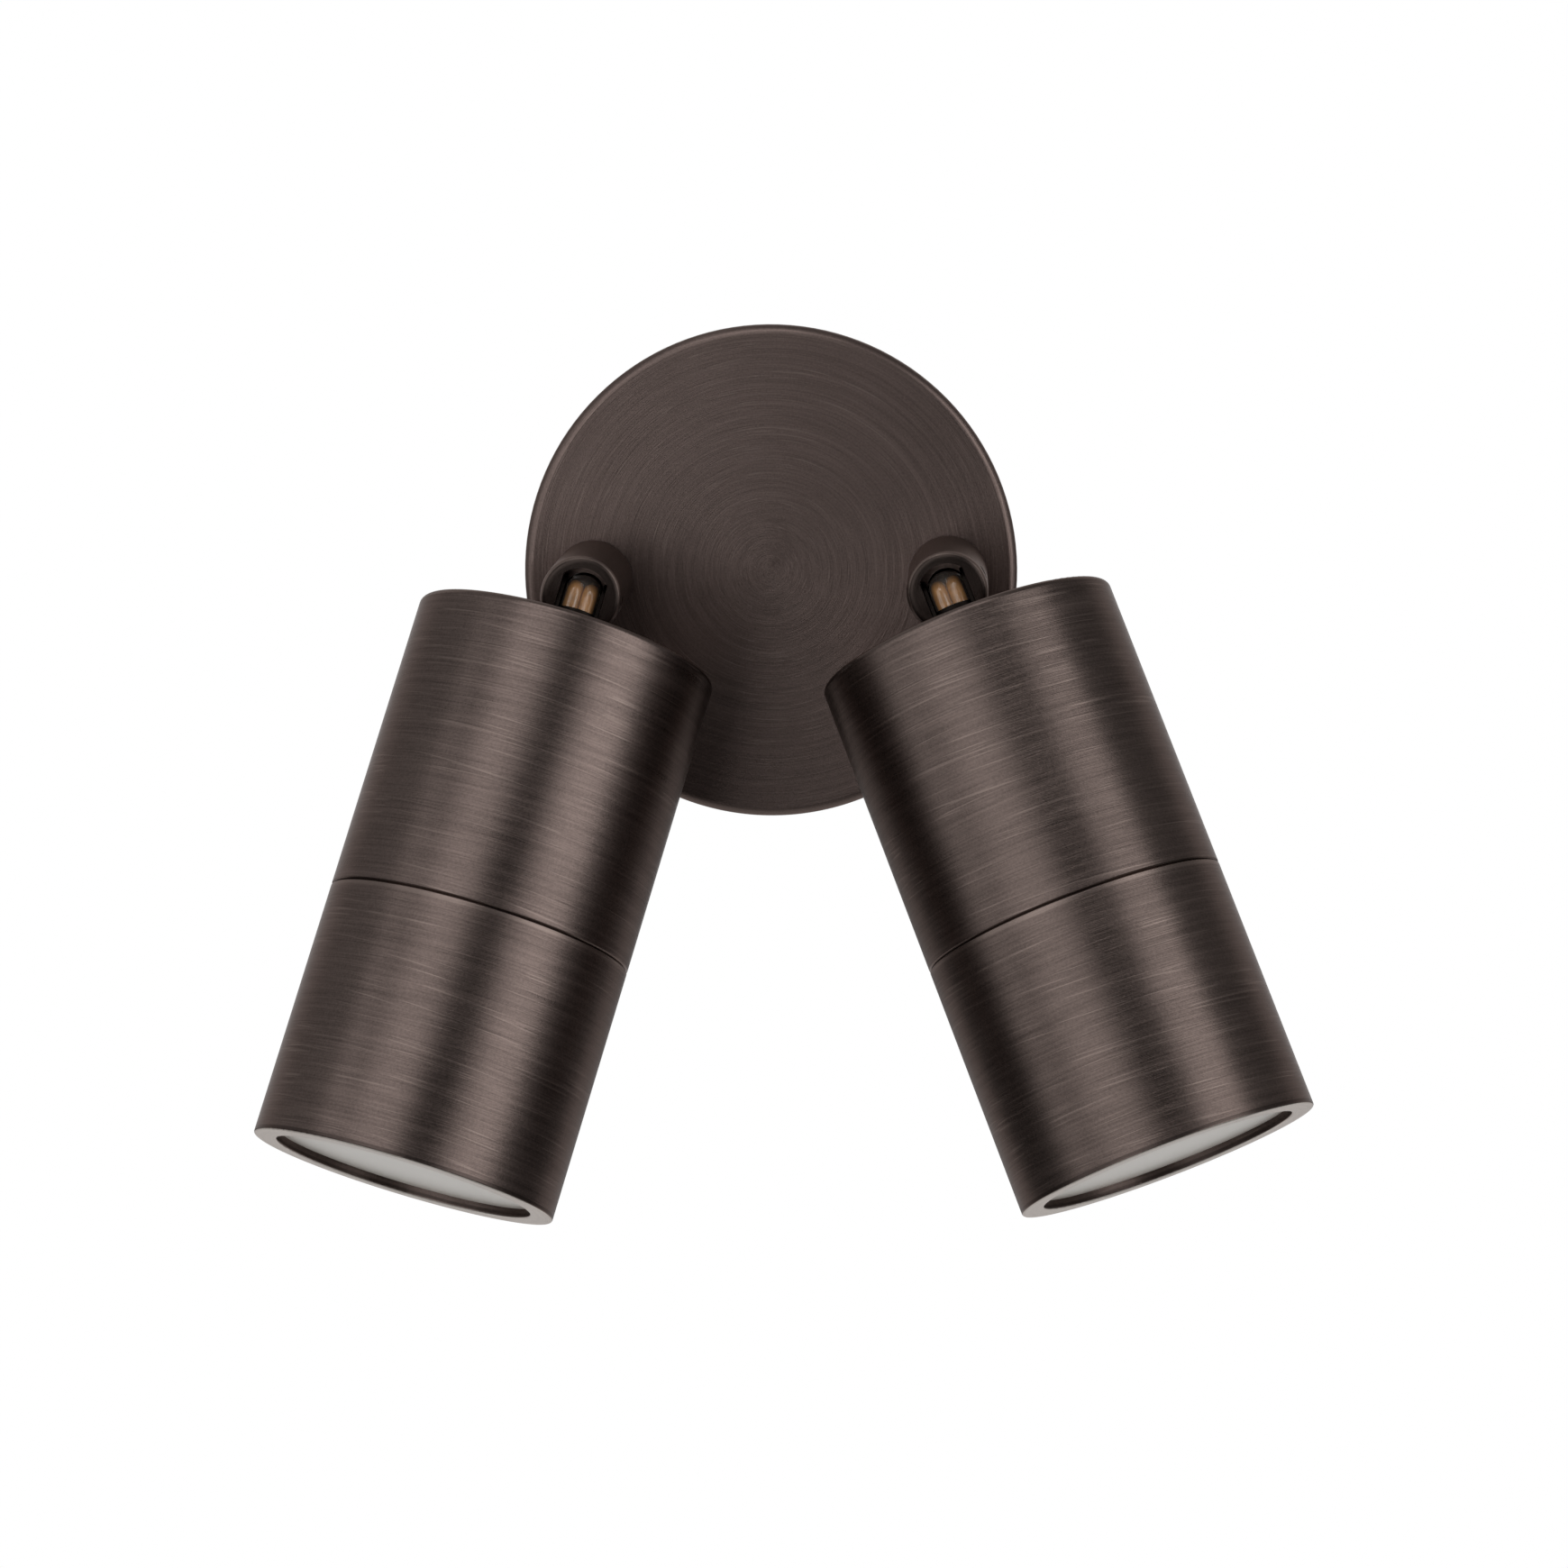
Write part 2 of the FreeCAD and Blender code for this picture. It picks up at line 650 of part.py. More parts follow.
def make_terminal_screws():
    """Clamping screws of the block: two for each pole, with a slot across the head."""
    top = size.plate_wall + size.block_height - size.screw_proud
    low = size.pole_level + size.entry_bore
    length = 2 * size.pole_bore
    screws = []
    for number, centre in enumerate(pole_centres()):
        for sign in (1, -1):
            name = f"pole_screw_{number}_{'upper' if sign > 0 else 'lower'}"
            spot = (centre, sign * size.block_width / 4 - size.block_drop)
            shank = rod(name + "_shank", size.pole_bore - size.screw_gap, low, top, spot)
            groove = doc.addObject("Part::Box", name + "_groove")
            bind(groove, "Length", length)
            bind(groove, "Width", size.groove_width)
            bind(groove, "Height", 2 * size.groove_depth)
            bind(groove, ".Placement.Base.x", centre - length / 2)
            bind(groove, ".Placement.Base.y", spot[1] - size.groove_width / 2)
            bind(groove, ".Placement.Base.z", top - size.groove_depth)
            screws.append(cut(name, shank, groove))
    return group("terminal_screws", WALL, screws)


def make_terminal_fixing_screw():
    top = size.plate_wall + size.block_height
    spot = (0, -size.block_drop)
    shank = rod("fixing_shank", size.fixing_radius, size.fixing_tip, top, spot)
    head = rod("fixing_head", size.small_head, top, top + size.small_head_height, spot)
    part = fused("terminal_fixing_screw", [shank, head])
    part.Label = "terminal_fixing_screw"
    return finish(part, WALL)


def make_earth_screw():
    """Screw with a saddle washer for the earth wire, beside the cable hole."""
    spot = (size.earth_reach, size.cable_offset)
    washer_top = size.plate_wall + size.earth_washer
    head_low = washer_top + size.wire_radius
    shank = rod("earth_shank", size.set_screw_radius, size.fixing_tip, head_low, spot)
    washer = rod("earth_saddle", size.earth_washer_radius, size.plate_wall, washer_top, spot)
    head = rod("earth_cap", size.earth_head_radius, head_low, head_low + size.earth_head, spot)
    part = fused("earth_screw", [shank, washer, head])
    part.Label = "earth_screw"
    return finish(part, WALL)


# Posts

def hex_nut(label, place, low, high):
    """A thin hexagon nut on the M10 thread; its corners lie at half the width across them."""
    corners = size.nut_across / math.sqrt(3)
    blank = hexagon(label + "_blank", corners, low, high)
    radius = size.tail_radius + size.thread_gap
    bore = rod(label + "_bore", radius, low - size.nut_depth, high + size.nut_depth)
    part = cut(label, blank, bore)
    part.Label = label
    return finish(part, place)


def make_post(side):
    """Turned post with a threaded tail, a bore, and a slot in its end for the head's stem."""
    body = new_body(f"post_{side}")
    foot = size.post_washer
    revolve(body, [
        (size.post_bore, -size.tail_length),
        (size.tail_radius, -size.tail_length),
        (size.tail_radius, foot),
        (size.post_radius, foot),
        (size.post_radius, size.post_length),
        (size.post_bore, size.post_length),
    ])
    round_edges(body, size.post_edge, [(size.post_radius, size.post_length)])
    slot = new_sketch(body, "XY_Plane", size.post_length)
    corner = root(size.fork_arc * size.fork_arc - size.fork_slot * size.fork_slot)
    open_end = size.post_radius + size.post_edge
    draw(slot, [
        (-size.fork_slot, -corner),
        (size.fork_slot, -corner),
        (size.fork_slot, open_end),
        (-size.fork_slot, open_end),
    ], {0: (size.fork_arc, 1)})
    pocket(body, slot, size.fork_depth)
    pivots = new_sketch(body, "YZ_Plane")
    draw_circle(pivots, (0, size.hinge_out), size.set_screw_radius + size.thread_gap)
    pocket(body, pivots)
    return finish(body, post_frame(side))


def make_post_fixings(side):
    """Nylon washer under the post, spring washer and lock nut behind the canopy's face."""
    place = post_frame(side)
    clear = size.tail_radius + size.screw_gap
    washer_edge = size.post_radius - size.screw_gap
    ring(f"post_washer_{side}", place, clear, washer_edge, 0, size.post_washer)
    inside = -size.face_wall
    ring(f"post_spring_washer_{side}", place, clear, size.post_radius, inside - size.washer_depth, inside)
    nut_top = inside - size.washer_depth
    hex_nut(f"post_nut_{side}", place, nut_top - size.nut_depth, nut_top)


def make_pivot_screws(side):
    """Two set screws in the post's cheeks; their dog points carry the stem."""
    screws = []
    for name, turn in (("first", 90), ("second", -90)):
        screw = set_screw(
            f"pivot_{side}_{name}",
            size.fork_slot + size.pivot_shoulder,
            size.post_radius - size.screw_sunk,
            size.stem_bore + size.pivot_shoulder,
        )
        spot = Vector(0, 0, size.hinge_out.value)
        screw.Placement = Placement(spot, Rotation(Vector(0, 1, 0), turn))
        screws.append(screw)
    return group(f"pivot_screws_{side}", post_frame(side), screws)


def lead_path(side):
    """Points of the lead's axis in the post's frame, as (hang, out), and the bend's radius."""
    _, tilt = side_angles(side)
    set_back = size.bend_radius * tangent((90 - tilt) / 2)
    turn_end = (set_back * cosine(tilt), size.hinge_out + set_back * sine(tilt))
    return [(0, -size.tail_length), (0, size.hinge_out - set_back), turn_end], tilt


def pipe(body, kind, side, end, offset, radius):
    """Sweep a circle along the lead's path, offset along the tilt axis."""
    points, tilt = lead_path(side)
    path = new_sketch(body, "YZ_Plane", offset)
    last = (end * cosine(tilt), size.hinge_out + end * sine(tilt))
    draw(path, points + [last], {1: (size.bend_radius, -1)}, closed=False)
    section = new_sketch(body, "XY_Plane", -size.tail_length)
    draw_circle(section, (offset, 0), radius)
    feature = body.newObject(kind, body.Name + "_pipe")
    feature.Profile = section
    feature.Spine = path
    doc.recompute()
    return feature


def make_sleeve(side):
    """Clear silicone sleeve from the post's tail, through the slot and into the head."""
    body = new_body(f"sleeve_{side}")
    pipe(body, "PartDesign::AdditivePipe", side, size.sleeve_end, as_size(0), size.sleeve_radius)
    inner = size.sleeve_radius - size.sleeve_wall
    pipe(body, "PartDesign::SubtractivePipe", side, size.sleeve_end, as_size(0), inner)
    return finish(body, post_frame(side))


def make_wires(side):
    """The lamp's two wires, side by side along the tilt axis, from the tail to the lamp holder."""
    wires = []
    for name, offset in (("live", size.wire_offset), ("neutral", -size.wire_offset)):
        body = new_body(f"wire_{side}_{name}")
        pipe(body, "PartDesign::AdditivePipe", side, holder_back(), offset, size.wire_radius)
        wires.append(body)
    return group(f"wires_{side}", post_frame(side), wires)


def make_canopy_wires(side):
    """The same two wires from the post's tail to their poles, on two levels inside the canopy."""
    _, hinge, _ = side_directions(side)
    sign = SIDES[side]
    start_level = size.canopy_depth.value - size.tail_length.value
    face = size.block_width.value / 2 - size.block_drop.value
    poles = [centre.value for centre in pole_centres()]
    outer_pole, inner_pole = (poles[1], poles[0]) if sign < 0 else (poles[2], poles[3])
    low_lane = size.plate_wall.value + size.wire_radius.value + size.lane_gap.value
    high_lane = low_lane + 2 * size.wire_radius.value + size.lane_gap.value
    post_x = sign * size.post_spacing.value / 2
    solids = []
    for way, pole, lane in ((sign, outer_pole, low_lane), (-sign, inner_pole, high_lane)):
        step = size.wire_offset.value * (1 if hinge.x * way > 0 else -1)
        x = post_x + step * hinge.x
        y = -size.post_drop.value + step * hinge.z
        route = [
            Vector(x, y, start_level),
            Vector(x, y, lane),
            Vector(pole, y, lane),
            Vector(pole, face, size.pole_level.value),
        ]
        solids.append(wire_solid(route, size.wire_radius.value))
    part = doc.addObject("Part::Feature", f"canopy_wires_{side}")
    part.Label = f"canopy_wires_{side}"
    part.Shape = Part.makeCompound(solids)
    return finish(part, WALL)


def wire_solid(route, radius):
    """A round wire along straight runs joined by tangent arcs."""
    edges = []
    here = route[0]
    for before, corner, after in zip(route, route[1:], route[2:]):
        back = (before - corner).normalize()
        ahead = (after - corner).normalize()
        half_turn = (math.pi - back.getAngle(ahead)) / 2
        shorter = min((before - corner).Length, (after - corner).Length)
        set_back = size.lane_bend.value * shorter
        bend = set_back / math.tan(half_turn)
        start = corner + back * set_back
        end = corner + ahead * set_back
        middle_way = (back + ahead).normalize()
        centre = corner + middle_way * (bend / math.cos(half_turn))
        middle = centre - middle_way * bend
        edges.append(Part.LineSegment(here, start).toShape())
        edges.append(Part.Arc(start, middle, end).toShape())
        here = end
    edges.append(Part.LineSegment(here, route[-1]).toShape())
    spine = Part.Wire(edges)
    section = Part.Wire(Part.makeCircle(radius, route[0], route[1] - route[0]))
    return spine.makePipeShell([section], True, False)


# Heads

def holder_back():
    """From the tilt axis to the back of the lamp holder."""
    return lamp_back() - size.holder_length


def lamp_front():
    glass_inner = head_front() - size.lip_wall - size.glass_wall
    return glass_inner - size.glass_gasket - size.lamp_gap


def lamp_back():
    return lamp_front() - size.lamp_length


def seam():
    return size.head_gap + size.rear_length


def head_front():
    return seam() + size.front_length


def inner_floor():
    """Inside of the rear shell's end plate."""
    return size.head_gap + size.rear_wall


def make_stem(side):
    """Hollow stem: two flat ears at the tilt axis, a collar on the head and a threaded end."""
    body = new_body(f"stem_{side}")
    collar = size.head_gap - size.collar_depth
    seal_outer = size.tail_radius + 2 * size.ring_wire
    seal_top = size.head_gap - 1.7 * size.ring_wire
    revolve(body, [
        (size.stem_bore, size.shank_start),
        (size.stem_radius, size.shank_start),
        (size.stem_radius, collar),
        (size.collar_radius, collar),
        (size.collar_radius, size.head_gap),
        (seal_outer, size.head_gap),
        (seal_outer, seal_top),
        (size.tail_radius, seal_top),
        (size.tail_radius, size.stem_end),
        (size.stem_bore, size.stem_end),
    ])
    overlap = size.shank_start + size.collar_depth
    for sign in (1, -1):
        ear = new_sketch(body, "YZ_Plane", sign * size.stem_bore)
        radius = size.ear_radius
        draw(ear, [
            (radius, overlap),
            (-radius, overlap),
            (-radius, 0),
            (0, -radius),
            (radius, 0),
        ], {2: (radius, 1), 3: (radius, 1)})
        pad(body, ear, size.stem_radius - size.stem_bore, back=sign < 0)
    pivot = new_sketch(body, "YZ_Plane")
    draw_circle(pivot, (0, 0), size.pivot_radius + size.running_gap)
    pocket(body, pivot)
    return finish(body, head_frame(side))


def make_stem_fixings(side):
    place = head_frame(side)
    wire = 0.8 * size.ring_wire
    level = size.head_gap - wire - size.thread_gap
    torus(f"stem_seal_{side}", place, size.tail_radius + size.ring_wire, wire, level)
    low = inner_floor()
    clear = size.tail_radius + size.screw_gap
    ring(f"stem_washer_{side}", place, clear, size.post_radius, low, low + size.washer_depth)
    nut_low = low + size.washer_depth
    hex_nut(f"stem_nut_{side}", place, nut_low, nut_low + size.nut_depth)


def rear_bore():
    """Inside radius of the rear shell."""
    return size.head_radius - size.shell_wall


def make_rear_body(side):
    """Rear shell: a lip round its end plate, and a female thread at the seam."""
    seam_face = seam() - size.thread_play
    thread_start = seam() - size.thread_length
    lip = rear_bore() - size.rear_lip
    lip_inside = size.head_gap + size.rear_lip_depth
    turned(f"rear_body_{side}", head_frame(side), [
        (lip, size.head_gap),
        (size.head_radius, size.head_gap),
        (size.head_radius, seam_face - size.seam_edge),
        (size.head_radius - size.seam_edge, seam_face),
        (size.thread_radius, seam_face),
        (size.thread_radius, thread_start),
        (rear_bore(), thread_start),
        (rear_bore(), lip_inside),
        (lip, lip_inside),
    ], rounds=[(size.rear_edge, [(size.head_radius, size.head_gap)])])


def make_rear_plate(side):
    """End plate seated behind the rear shell's lip, flush with it, with two blind screw holes inside."""
    body = new_body(f"rear_plate_{side}")
    hole = size.tail_radius + size.thread_play
    boss = rear_bore() - size.rear_lip - size.thread_play
    edge = rear_bore() - size.thread_play
    lip_inside = size.head_gap + size.rear_lip_depth
    revolve(body, [
        (hole, size.head_gap),
        (boss, size.head_gap),
        (boss, lip_inside),
        (edge, lip_inside),
        (edge, inner_floor()),
        (hole, inner_floor()),
    ])
    holes = new_sketch(body, "XY_Plane", inner_floor())
    for sign in (1, -1):
        spot = (sign * (size.foot_spread - size.foot_inset), 0)
        draw_circle(holes, spot, size.small_screw + size.thread_play)
    pocket(body, holes, size.rear_wall - size.screw_bottom)
    return finish(body, head_frame(side))


def make_seam_ring(side):
    radius = size.thread_radius - size.ring_wire - size.thread_gap
    torus(f"seam_ring_{side}", head_frame(side), radius, size.ring_wire, seam() - size.ring_back)


def make_front_body(side):
    """Front shell: male thread with an O-ring groove, and a lip that holds the glass."""
    groove_low = seam() - size.ring_back - size.ring_wire - size.ring_play
    groove_high = seam() - size.ring_back + size.ring_wire + size.ring_play
    thread = size.thread_radius - size.thread_play
    groove_floor = thread - 2 * size.ring_wire
    seam_face = seam() + size.thread_play
    spigot_end = seam() - size.thread_length + size.ring_wire
    return turned(f"front_body_{side}", head_frame(side), [
        (size.front_bore, spigot_end),
        (thread, spigot_end),
        (thread, groove_low),
        (groove_floor, groove_low),
        (groove_floor, groove_high),
        (thread, groove_high),
        (thread, seam_face),
        (size.head_radius - size.seam_edge, seam_face),
        (size.head_radius, seam_face + size.seam_edge),
        (size.head_radius, head_front()),
        (size.lip_bore, head_front()),
        (size.lip_bore, head_front() - size.lip_wall),
        (size.front_bore, head_front() - size.lip_wall),
    ], rounds=[(size.front_edge, [(size.head_radius, head_front()), (size.lip_bore, head_front())])])


def make_glazing(side):
    """Front glass, silicone ring and snap ring, from the lip inwards."""
    place = head_frame(side)
    outer = head_front() - size.lip_wall
    inner = outer - size.glass_wall
    edge = size.glass_edge
    turned(f"glass_{side}", place, [
        (0, inner),
        (size.glass_radius - edge, inner),
        (size.glass_radius, inner + edge),
        (size.glass_radius, outer - edge),
        (size.glass_radius - edge, outer),
        (0, outer),
    ])
    gasket_low = inner - size.glass_gasket
    ring(f"glass_gasket_{side}", place, size.lip_bore, size.front_bore, gasket_low, inner)
    snap_low = gasket_low - size.glass_ring
    ring(f"glass_ring_{side}", place, size.lip_bore, size.front_bore, snap_low, gasket_low)


def make_lamp(side):
    """Reflector lamp of 50 mm with a two-pin base."""
    body = new_body(f"lamp_{side}")
    back = lamp_back()
    front = lamp_front()
    shoulder = back + size.lamp_neck
    rim = front - size.lamp_rim
    ease = size.rim_ease
    revolve(body, [
        (0, back),
        (size.lamp_base, back),
        (size.lamp_base, shoulder),
        (size.lamp_radius - ease, rim),
        (size.lamp_radius, rim + ease / 2),
        (size.lamp_radius, front - ease),
        (size.lamp_radius - ease, front),
        (size.lamp_radius - 3 * ease, front),
        (size.lamp_radius - 4 * ease, front - ease),
        (0, front - ease),
    ], {2: (size.lamp_bulge, -1)})
    head_low = size.pin_length - size.pin_head_length
    shank = (size.pin_radius, as_size(0), size.pin_length)
    head = (size.pin_head_radius, head_low, size.pin_head_length)
    for radius, low, length in (shank, head):
        pins = new_sketch(body, "XY_Plane", back - low)
        for sign in (1, -1):
            draw_circle(pins, (0, sign * size.pin_pitch / 2), radius)
        pad(body, pins, length, back=True)
    return finish(body, head_frame(side))


def make_lamp_holder(side):
    """Ceramic holder with two pin holes in front and two screw holes behind."""
    body = new_body(f"lamp_holder_{side}")
    back = holder_back()
    front = lamp_back()
    revolve(body, [(0, back), (size.holder_radius, back), (size.holder_radius, front), (0, front)])
    pins = new_sketch(body, "XY_Plane", front)
    for sign in (1, -1):
        draw_circle(pins, (0, sign * size.pin_pitch / 2), size.pin_head_radius + size.pin_room)
    pocket(body, pins, size.pin_length + size.pin_radius)
    screws = new_sketch(body, "XY_Plane", back)
    for sign in (1, -1):
        draw_circle(screws, (sign * size.holder_screws, 0), size.small_screw + size.thread_play)
    pocket(body, screws, size.holder_screw_depth, forward=True)
    round_edges(body, size.holder_edge, [(size.holder_radius, front), (size.holder_radius, back)])
    return finish(body, head_frame(side))


def make_holder_bracket(side):
    """U-shaped strap with two feet on the end plate; the lamp holder sits on its top."""
    body = new_body(f"holder_bracket_{side}")
    floor = inner_floor()
    wall = size.strap_wall
    top = holder_back()
    leg = size.leg_spread
    foot = size.foot_spread
    strap = new_sketch(body, "XZ_Plane")
    draw(strap, [
        (-foot, floor),
        (wall - leg, floor),
        (wall - leg, top - wall),
        (leg - wall, top - wall),
        (leg - wall, floor),
        (foot, floor),
        (foot, floor + wall),
        (leg, floor + wall),
        (leg, top),
        (-leg, top),
        (-leg, floor + wall),
        (-foot, floor + wall),
    ])
    pad(body, strap, size.strap_width, both=True)
    holes = new_sketch(body, "XY_Plane")
    draw_circle(holes, (0, 0), size.strap_hole)
    for spread in (size.foot_spread - size.foot_inset, size.holder_screws):
        for sign in (1, -1):
            draw_circle(holes, (sign * spread, 0), size.small_screw + size.screw_gap)
    pocket(body, holes)
    return finish(body, head_frame(side))


def make_holder_screws(side):
    """Two screws through the feet into the end plate, and two up through the strap into the holder."""
    floor = inner_floor()
    foot_top = floor + size.strap_wall
    strap_under = holder_back() - size.strap_wall
    screws = []
    for sign in (1, -1):
        way = "first" if sign > 0 else "second"
        foot_spot = (sign * (size.foot_spread - size.foot_inset), 0)
        foot_tip = floor - size.rear_wall + size.screw_bottom + size.screw_sunk
        head = size.small_head_height
        screws.append(pan_screw(f"foot_{side}_{way}", foot_tip, foot_top, foot_top + head, foot_spot))
        top_spot = (sign * size.holder_screws, 0)
        tip = strap_under + size.holder_screw_depth
        name = f"top_{side}_{way}"
        screws.append(pan_screw(name, tip, strap_under - head, strap_under, top_spot, downward=True))
    return group(f"holder_screws_{side}", head_frame(side), screws)


def check_and_export():
    """Stop on any failed object or bad shape, then write one STEP file for each node."""
    doc.recompute()
    for item in doc.Objects:
        if "Invalid" in item.State or "Error" in item.State:
            raise ValueError(f"{item.Label} failed: {item.State}")
    os.makedirs("parts", exist_ok=True)
    for node in nodes:
        shape = node.Shape
        if shape.isNull() or not shape.isValid() or not shape.Solids:
            raise ValueError(f"{node.Label} has no valid solid")
        shape.exportStep(f"parts/{node.Label}.step")
        print(f"{node.Label:24s} {len(shape.Solids)} solids, {shape.Volume:10.1f} mm3")
    print(f"{len(nodes)} nodes")


make_canopy()
make_wall_gasket()
make_mounting_bracket()
make_canopy_screws()
make_cable_grommet()
make_terminal_block()
make_terminal_screws()
make_terminal_fixing_screw()
make_earth_screw()
for each_side in SIDES:
    make_post(each_side)
    make_post_fixings(each_side)
    make_pivot_screws(each_side)
    make_sleeve(each_side)
    make_wires(each_side)
    make_canopy_wires(each_side)
    make_stem(each_side)
    make_stem_fixings(each_side)
    make_rear_body(each_side)
    make_rear_plate(each_side)
    make_seam_ring(each_side)
    make_front_body(each_side)
    make_glazing(each_side)
    make_lamp(each_side)
    make_lamp_holder(each_side)
    make_holder_bracket(each_side)
    make_holder_screws(each_side)
check_and_export()
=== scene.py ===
# Looks of a twin wall spot: dark burnished brass, satin front glasses, clear sleeves with amber wires.
# It is laid out as an add-on and run as a script. Every place is in the part's own frame, in metres:
# +Z is up, the wall is Y = 0 and the room is towards -Y.
import json
import math

import bpy
from bpy.props import FloatProperty, FloatVectorProperty, PointerProperty
from mathutils import Matrix, Vector


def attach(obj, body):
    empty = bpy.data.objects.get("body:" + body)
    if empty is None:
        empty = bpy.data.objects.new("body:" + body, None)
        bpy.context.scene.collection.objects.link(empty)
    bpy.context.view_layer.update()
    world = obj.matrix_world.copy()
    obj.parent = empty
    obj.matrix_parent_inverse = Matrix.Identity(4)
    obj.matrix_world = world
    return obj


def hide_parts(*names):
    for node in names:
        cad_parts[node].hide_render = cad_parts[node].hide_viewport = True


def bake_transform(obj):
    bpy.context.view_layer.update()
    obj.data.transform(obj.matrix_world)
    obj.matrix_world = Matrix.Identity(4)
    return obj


bl_info = {
    "name": "Twin Wall Spot",
    "version": (1, 0, 0),
    "blender": (4, 5, 0),
    "location": "View3D > Sidebar > Wall Spot",
    "description": "Dresses the solids of a twin wall spot and sets up its studio",
    "category": "Object",
}

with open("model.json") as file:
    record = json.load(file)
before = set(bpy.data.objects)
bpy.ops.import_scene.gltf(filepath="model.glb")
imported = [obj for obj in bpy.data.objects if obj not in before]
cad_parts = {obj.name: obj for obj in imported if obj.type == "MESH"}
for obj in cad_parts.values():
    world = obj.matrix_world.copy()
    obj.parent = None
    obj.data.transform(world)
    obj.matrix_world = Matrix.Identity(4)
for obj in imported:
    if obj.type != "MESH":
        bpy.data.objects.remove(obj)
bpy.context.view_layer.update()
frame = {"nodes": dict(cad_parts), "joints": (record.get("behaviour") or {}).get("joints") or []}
JOINTS = {joint["name"]: joint for joint in frame["joints"]}
SIDES = ("left", "right")
PHOTO_WIDTH = 1740
MM = 0.001


# Places of the turned parts

def turned_place(origin, axis, across):
    """Frame with Z along the axis that a part was turned on, and X along across."""
    along = Vector(axis).normalized()
    sideways = Vector(across).normalized()
    matrix = Matrix((sideways, along.cross(sideways), along)).transposed().to_4x4()
    matrix.translation = Vector(origin)
    return matrix


def canopy_place():
    """The canopy's frame: origin on the wall behind the centre of its brushing, Z out into the room."""
    sizes = bpy.context.scene.wall_spot_sizes
    return turned_place((0, 0, sizes.brush_centre), (0, -1, 0), (1, 0, 0))


def post_place(side):
    """A post's frame at rest: origin on the canopy's face, Z along the post, X along the tilt axis."""
    foot = JOINTS[f"{side}_swivel"]["pos_m"]
    return turned_place(foot, (0, -1, 0), JOINTS[f"{side}_tilt"]["axis"])


def head_place(side):
    """A head's frame at rest: origin on the tilt axis, Z along the head towards its front."""
    joint = JOINTS[f"{side}_tilt"]
    hinge = Vector(joint["axis"])
    tilt = math.radians(-joint["range_deg"][0])
    hang = Vector((0, 1, 0)).cross(hinge).normalized()
    if hang.z > 0:
        hang = -hang
    along = hang * math.cos(tilt) + Vector((0, -math.sin(tilt), 0))
    return turned_place(joint["pos_m"], along, hinge)


# Settings that a user would change

def length(name, description, default):
    return FloatProperty(name=name, description=description, default=default, unit="LENGTH", precision=5)


def colour(name, description, default):
    return FloatVectorProperty(
        name=name, description=description, default=default, subtype="COLOR", size=3, min=0, max=1
    )


def number(name, description, default):
    return FloatProperty(name=name, description=description, default=default, precision=3)


class SpotSizes(bpy.types.PropertyGroup):
    brush_centre: length("Brushing centre", "Centre of the canopy's brushing above its middle", 0.0004)
    canopy_radius: length("Canopy radius", "Radius of the canopy's face", 0.050)
    canopy_depth: length("Canopy depth", "From the wall to the canopy's face", 0.020)
    post_radius: length("Post radius", "Outside of a post", 0.008)
    post_length: length("Post length", "From the canopy's face to a post's end", 0.037)
    head_radius: length("Head radius", "Outside of a head", 0.030)
    head_rear: length("Head rear", "From the tilt axis to a head's rear face", 0.0102)
    head_seam: length("Head seam", "From the tilt axis to the seam of the shells", 0.0699)
    head_front: length("Head front", "From the tilt axis to a head's front ring", 0.1206)
    tail_end: length("Tail end", "From the canopy's face back to the end of a post's tail", 0.0092)
    bend: length("Bend radius", "Bend of sleeve and wires in the slot", 0.006)
    sleeve_radius: length("Sleeve radius", "Outside of the clear sleeve", 0.0036)
    sleeve_wall: length("Sleeve wall", "Wall of the clear sleeve", 0.0003)
    sleeve_end: length("Sleeve end", "From the tilt axis to the sleeve's end in the head", 0.024)
    wire_radius: length("Wire radius", "Insulated lamp wire", 0.0016)
    wire_offset: length("Wire offset", "Each wire's axis from the sleeve's axis", 0.0016)
    wire_push: length("Wire push", "How far the bend pushes the wires outwards in the sleeve", 0.00045)
    bulge: length("Bulge", "How far the leads bulge outwards at the tilt axis", 0.0018)
    bulge_reach: length("Bulge reach", "How far along the leads the bulge fades out", 0.0050)
    wire_end: length("Wire end", "From the tilt axis to the lamp holder's back", 0.0447)
    lamp_back: length("Lamp back", "From the tilt axis to the back of the lamp", 0.0627)
    lamp_front: length("Lamp front", "From the tilt axis to the front of the lamp", 0.1127)
    lamp_radius: length("Lamp radius", "Outside of the lamp's rim", 0.025)
    lamp_base: length("Lamp base", "Radius of the lamp's base", 0.0115)
    lamp_neck: length("Lamp neck", "Height of the lamp's base", 0.012)
    lamp_wall: length("Lamp wall", "Glass of the lamp's reflector", 0.0012)
    pin_pitch: length("Pin pitch", "Between the lamp's two pins", 0.010)
    pin_radius: length("Pin radius", "Pin of the lamp", 0.0015)
    pin_head: length("Pin head", "Radius of a pin's round head", 0.0025)
    pin_length: length("Pin length", "Pin of the lamp", 0.007)


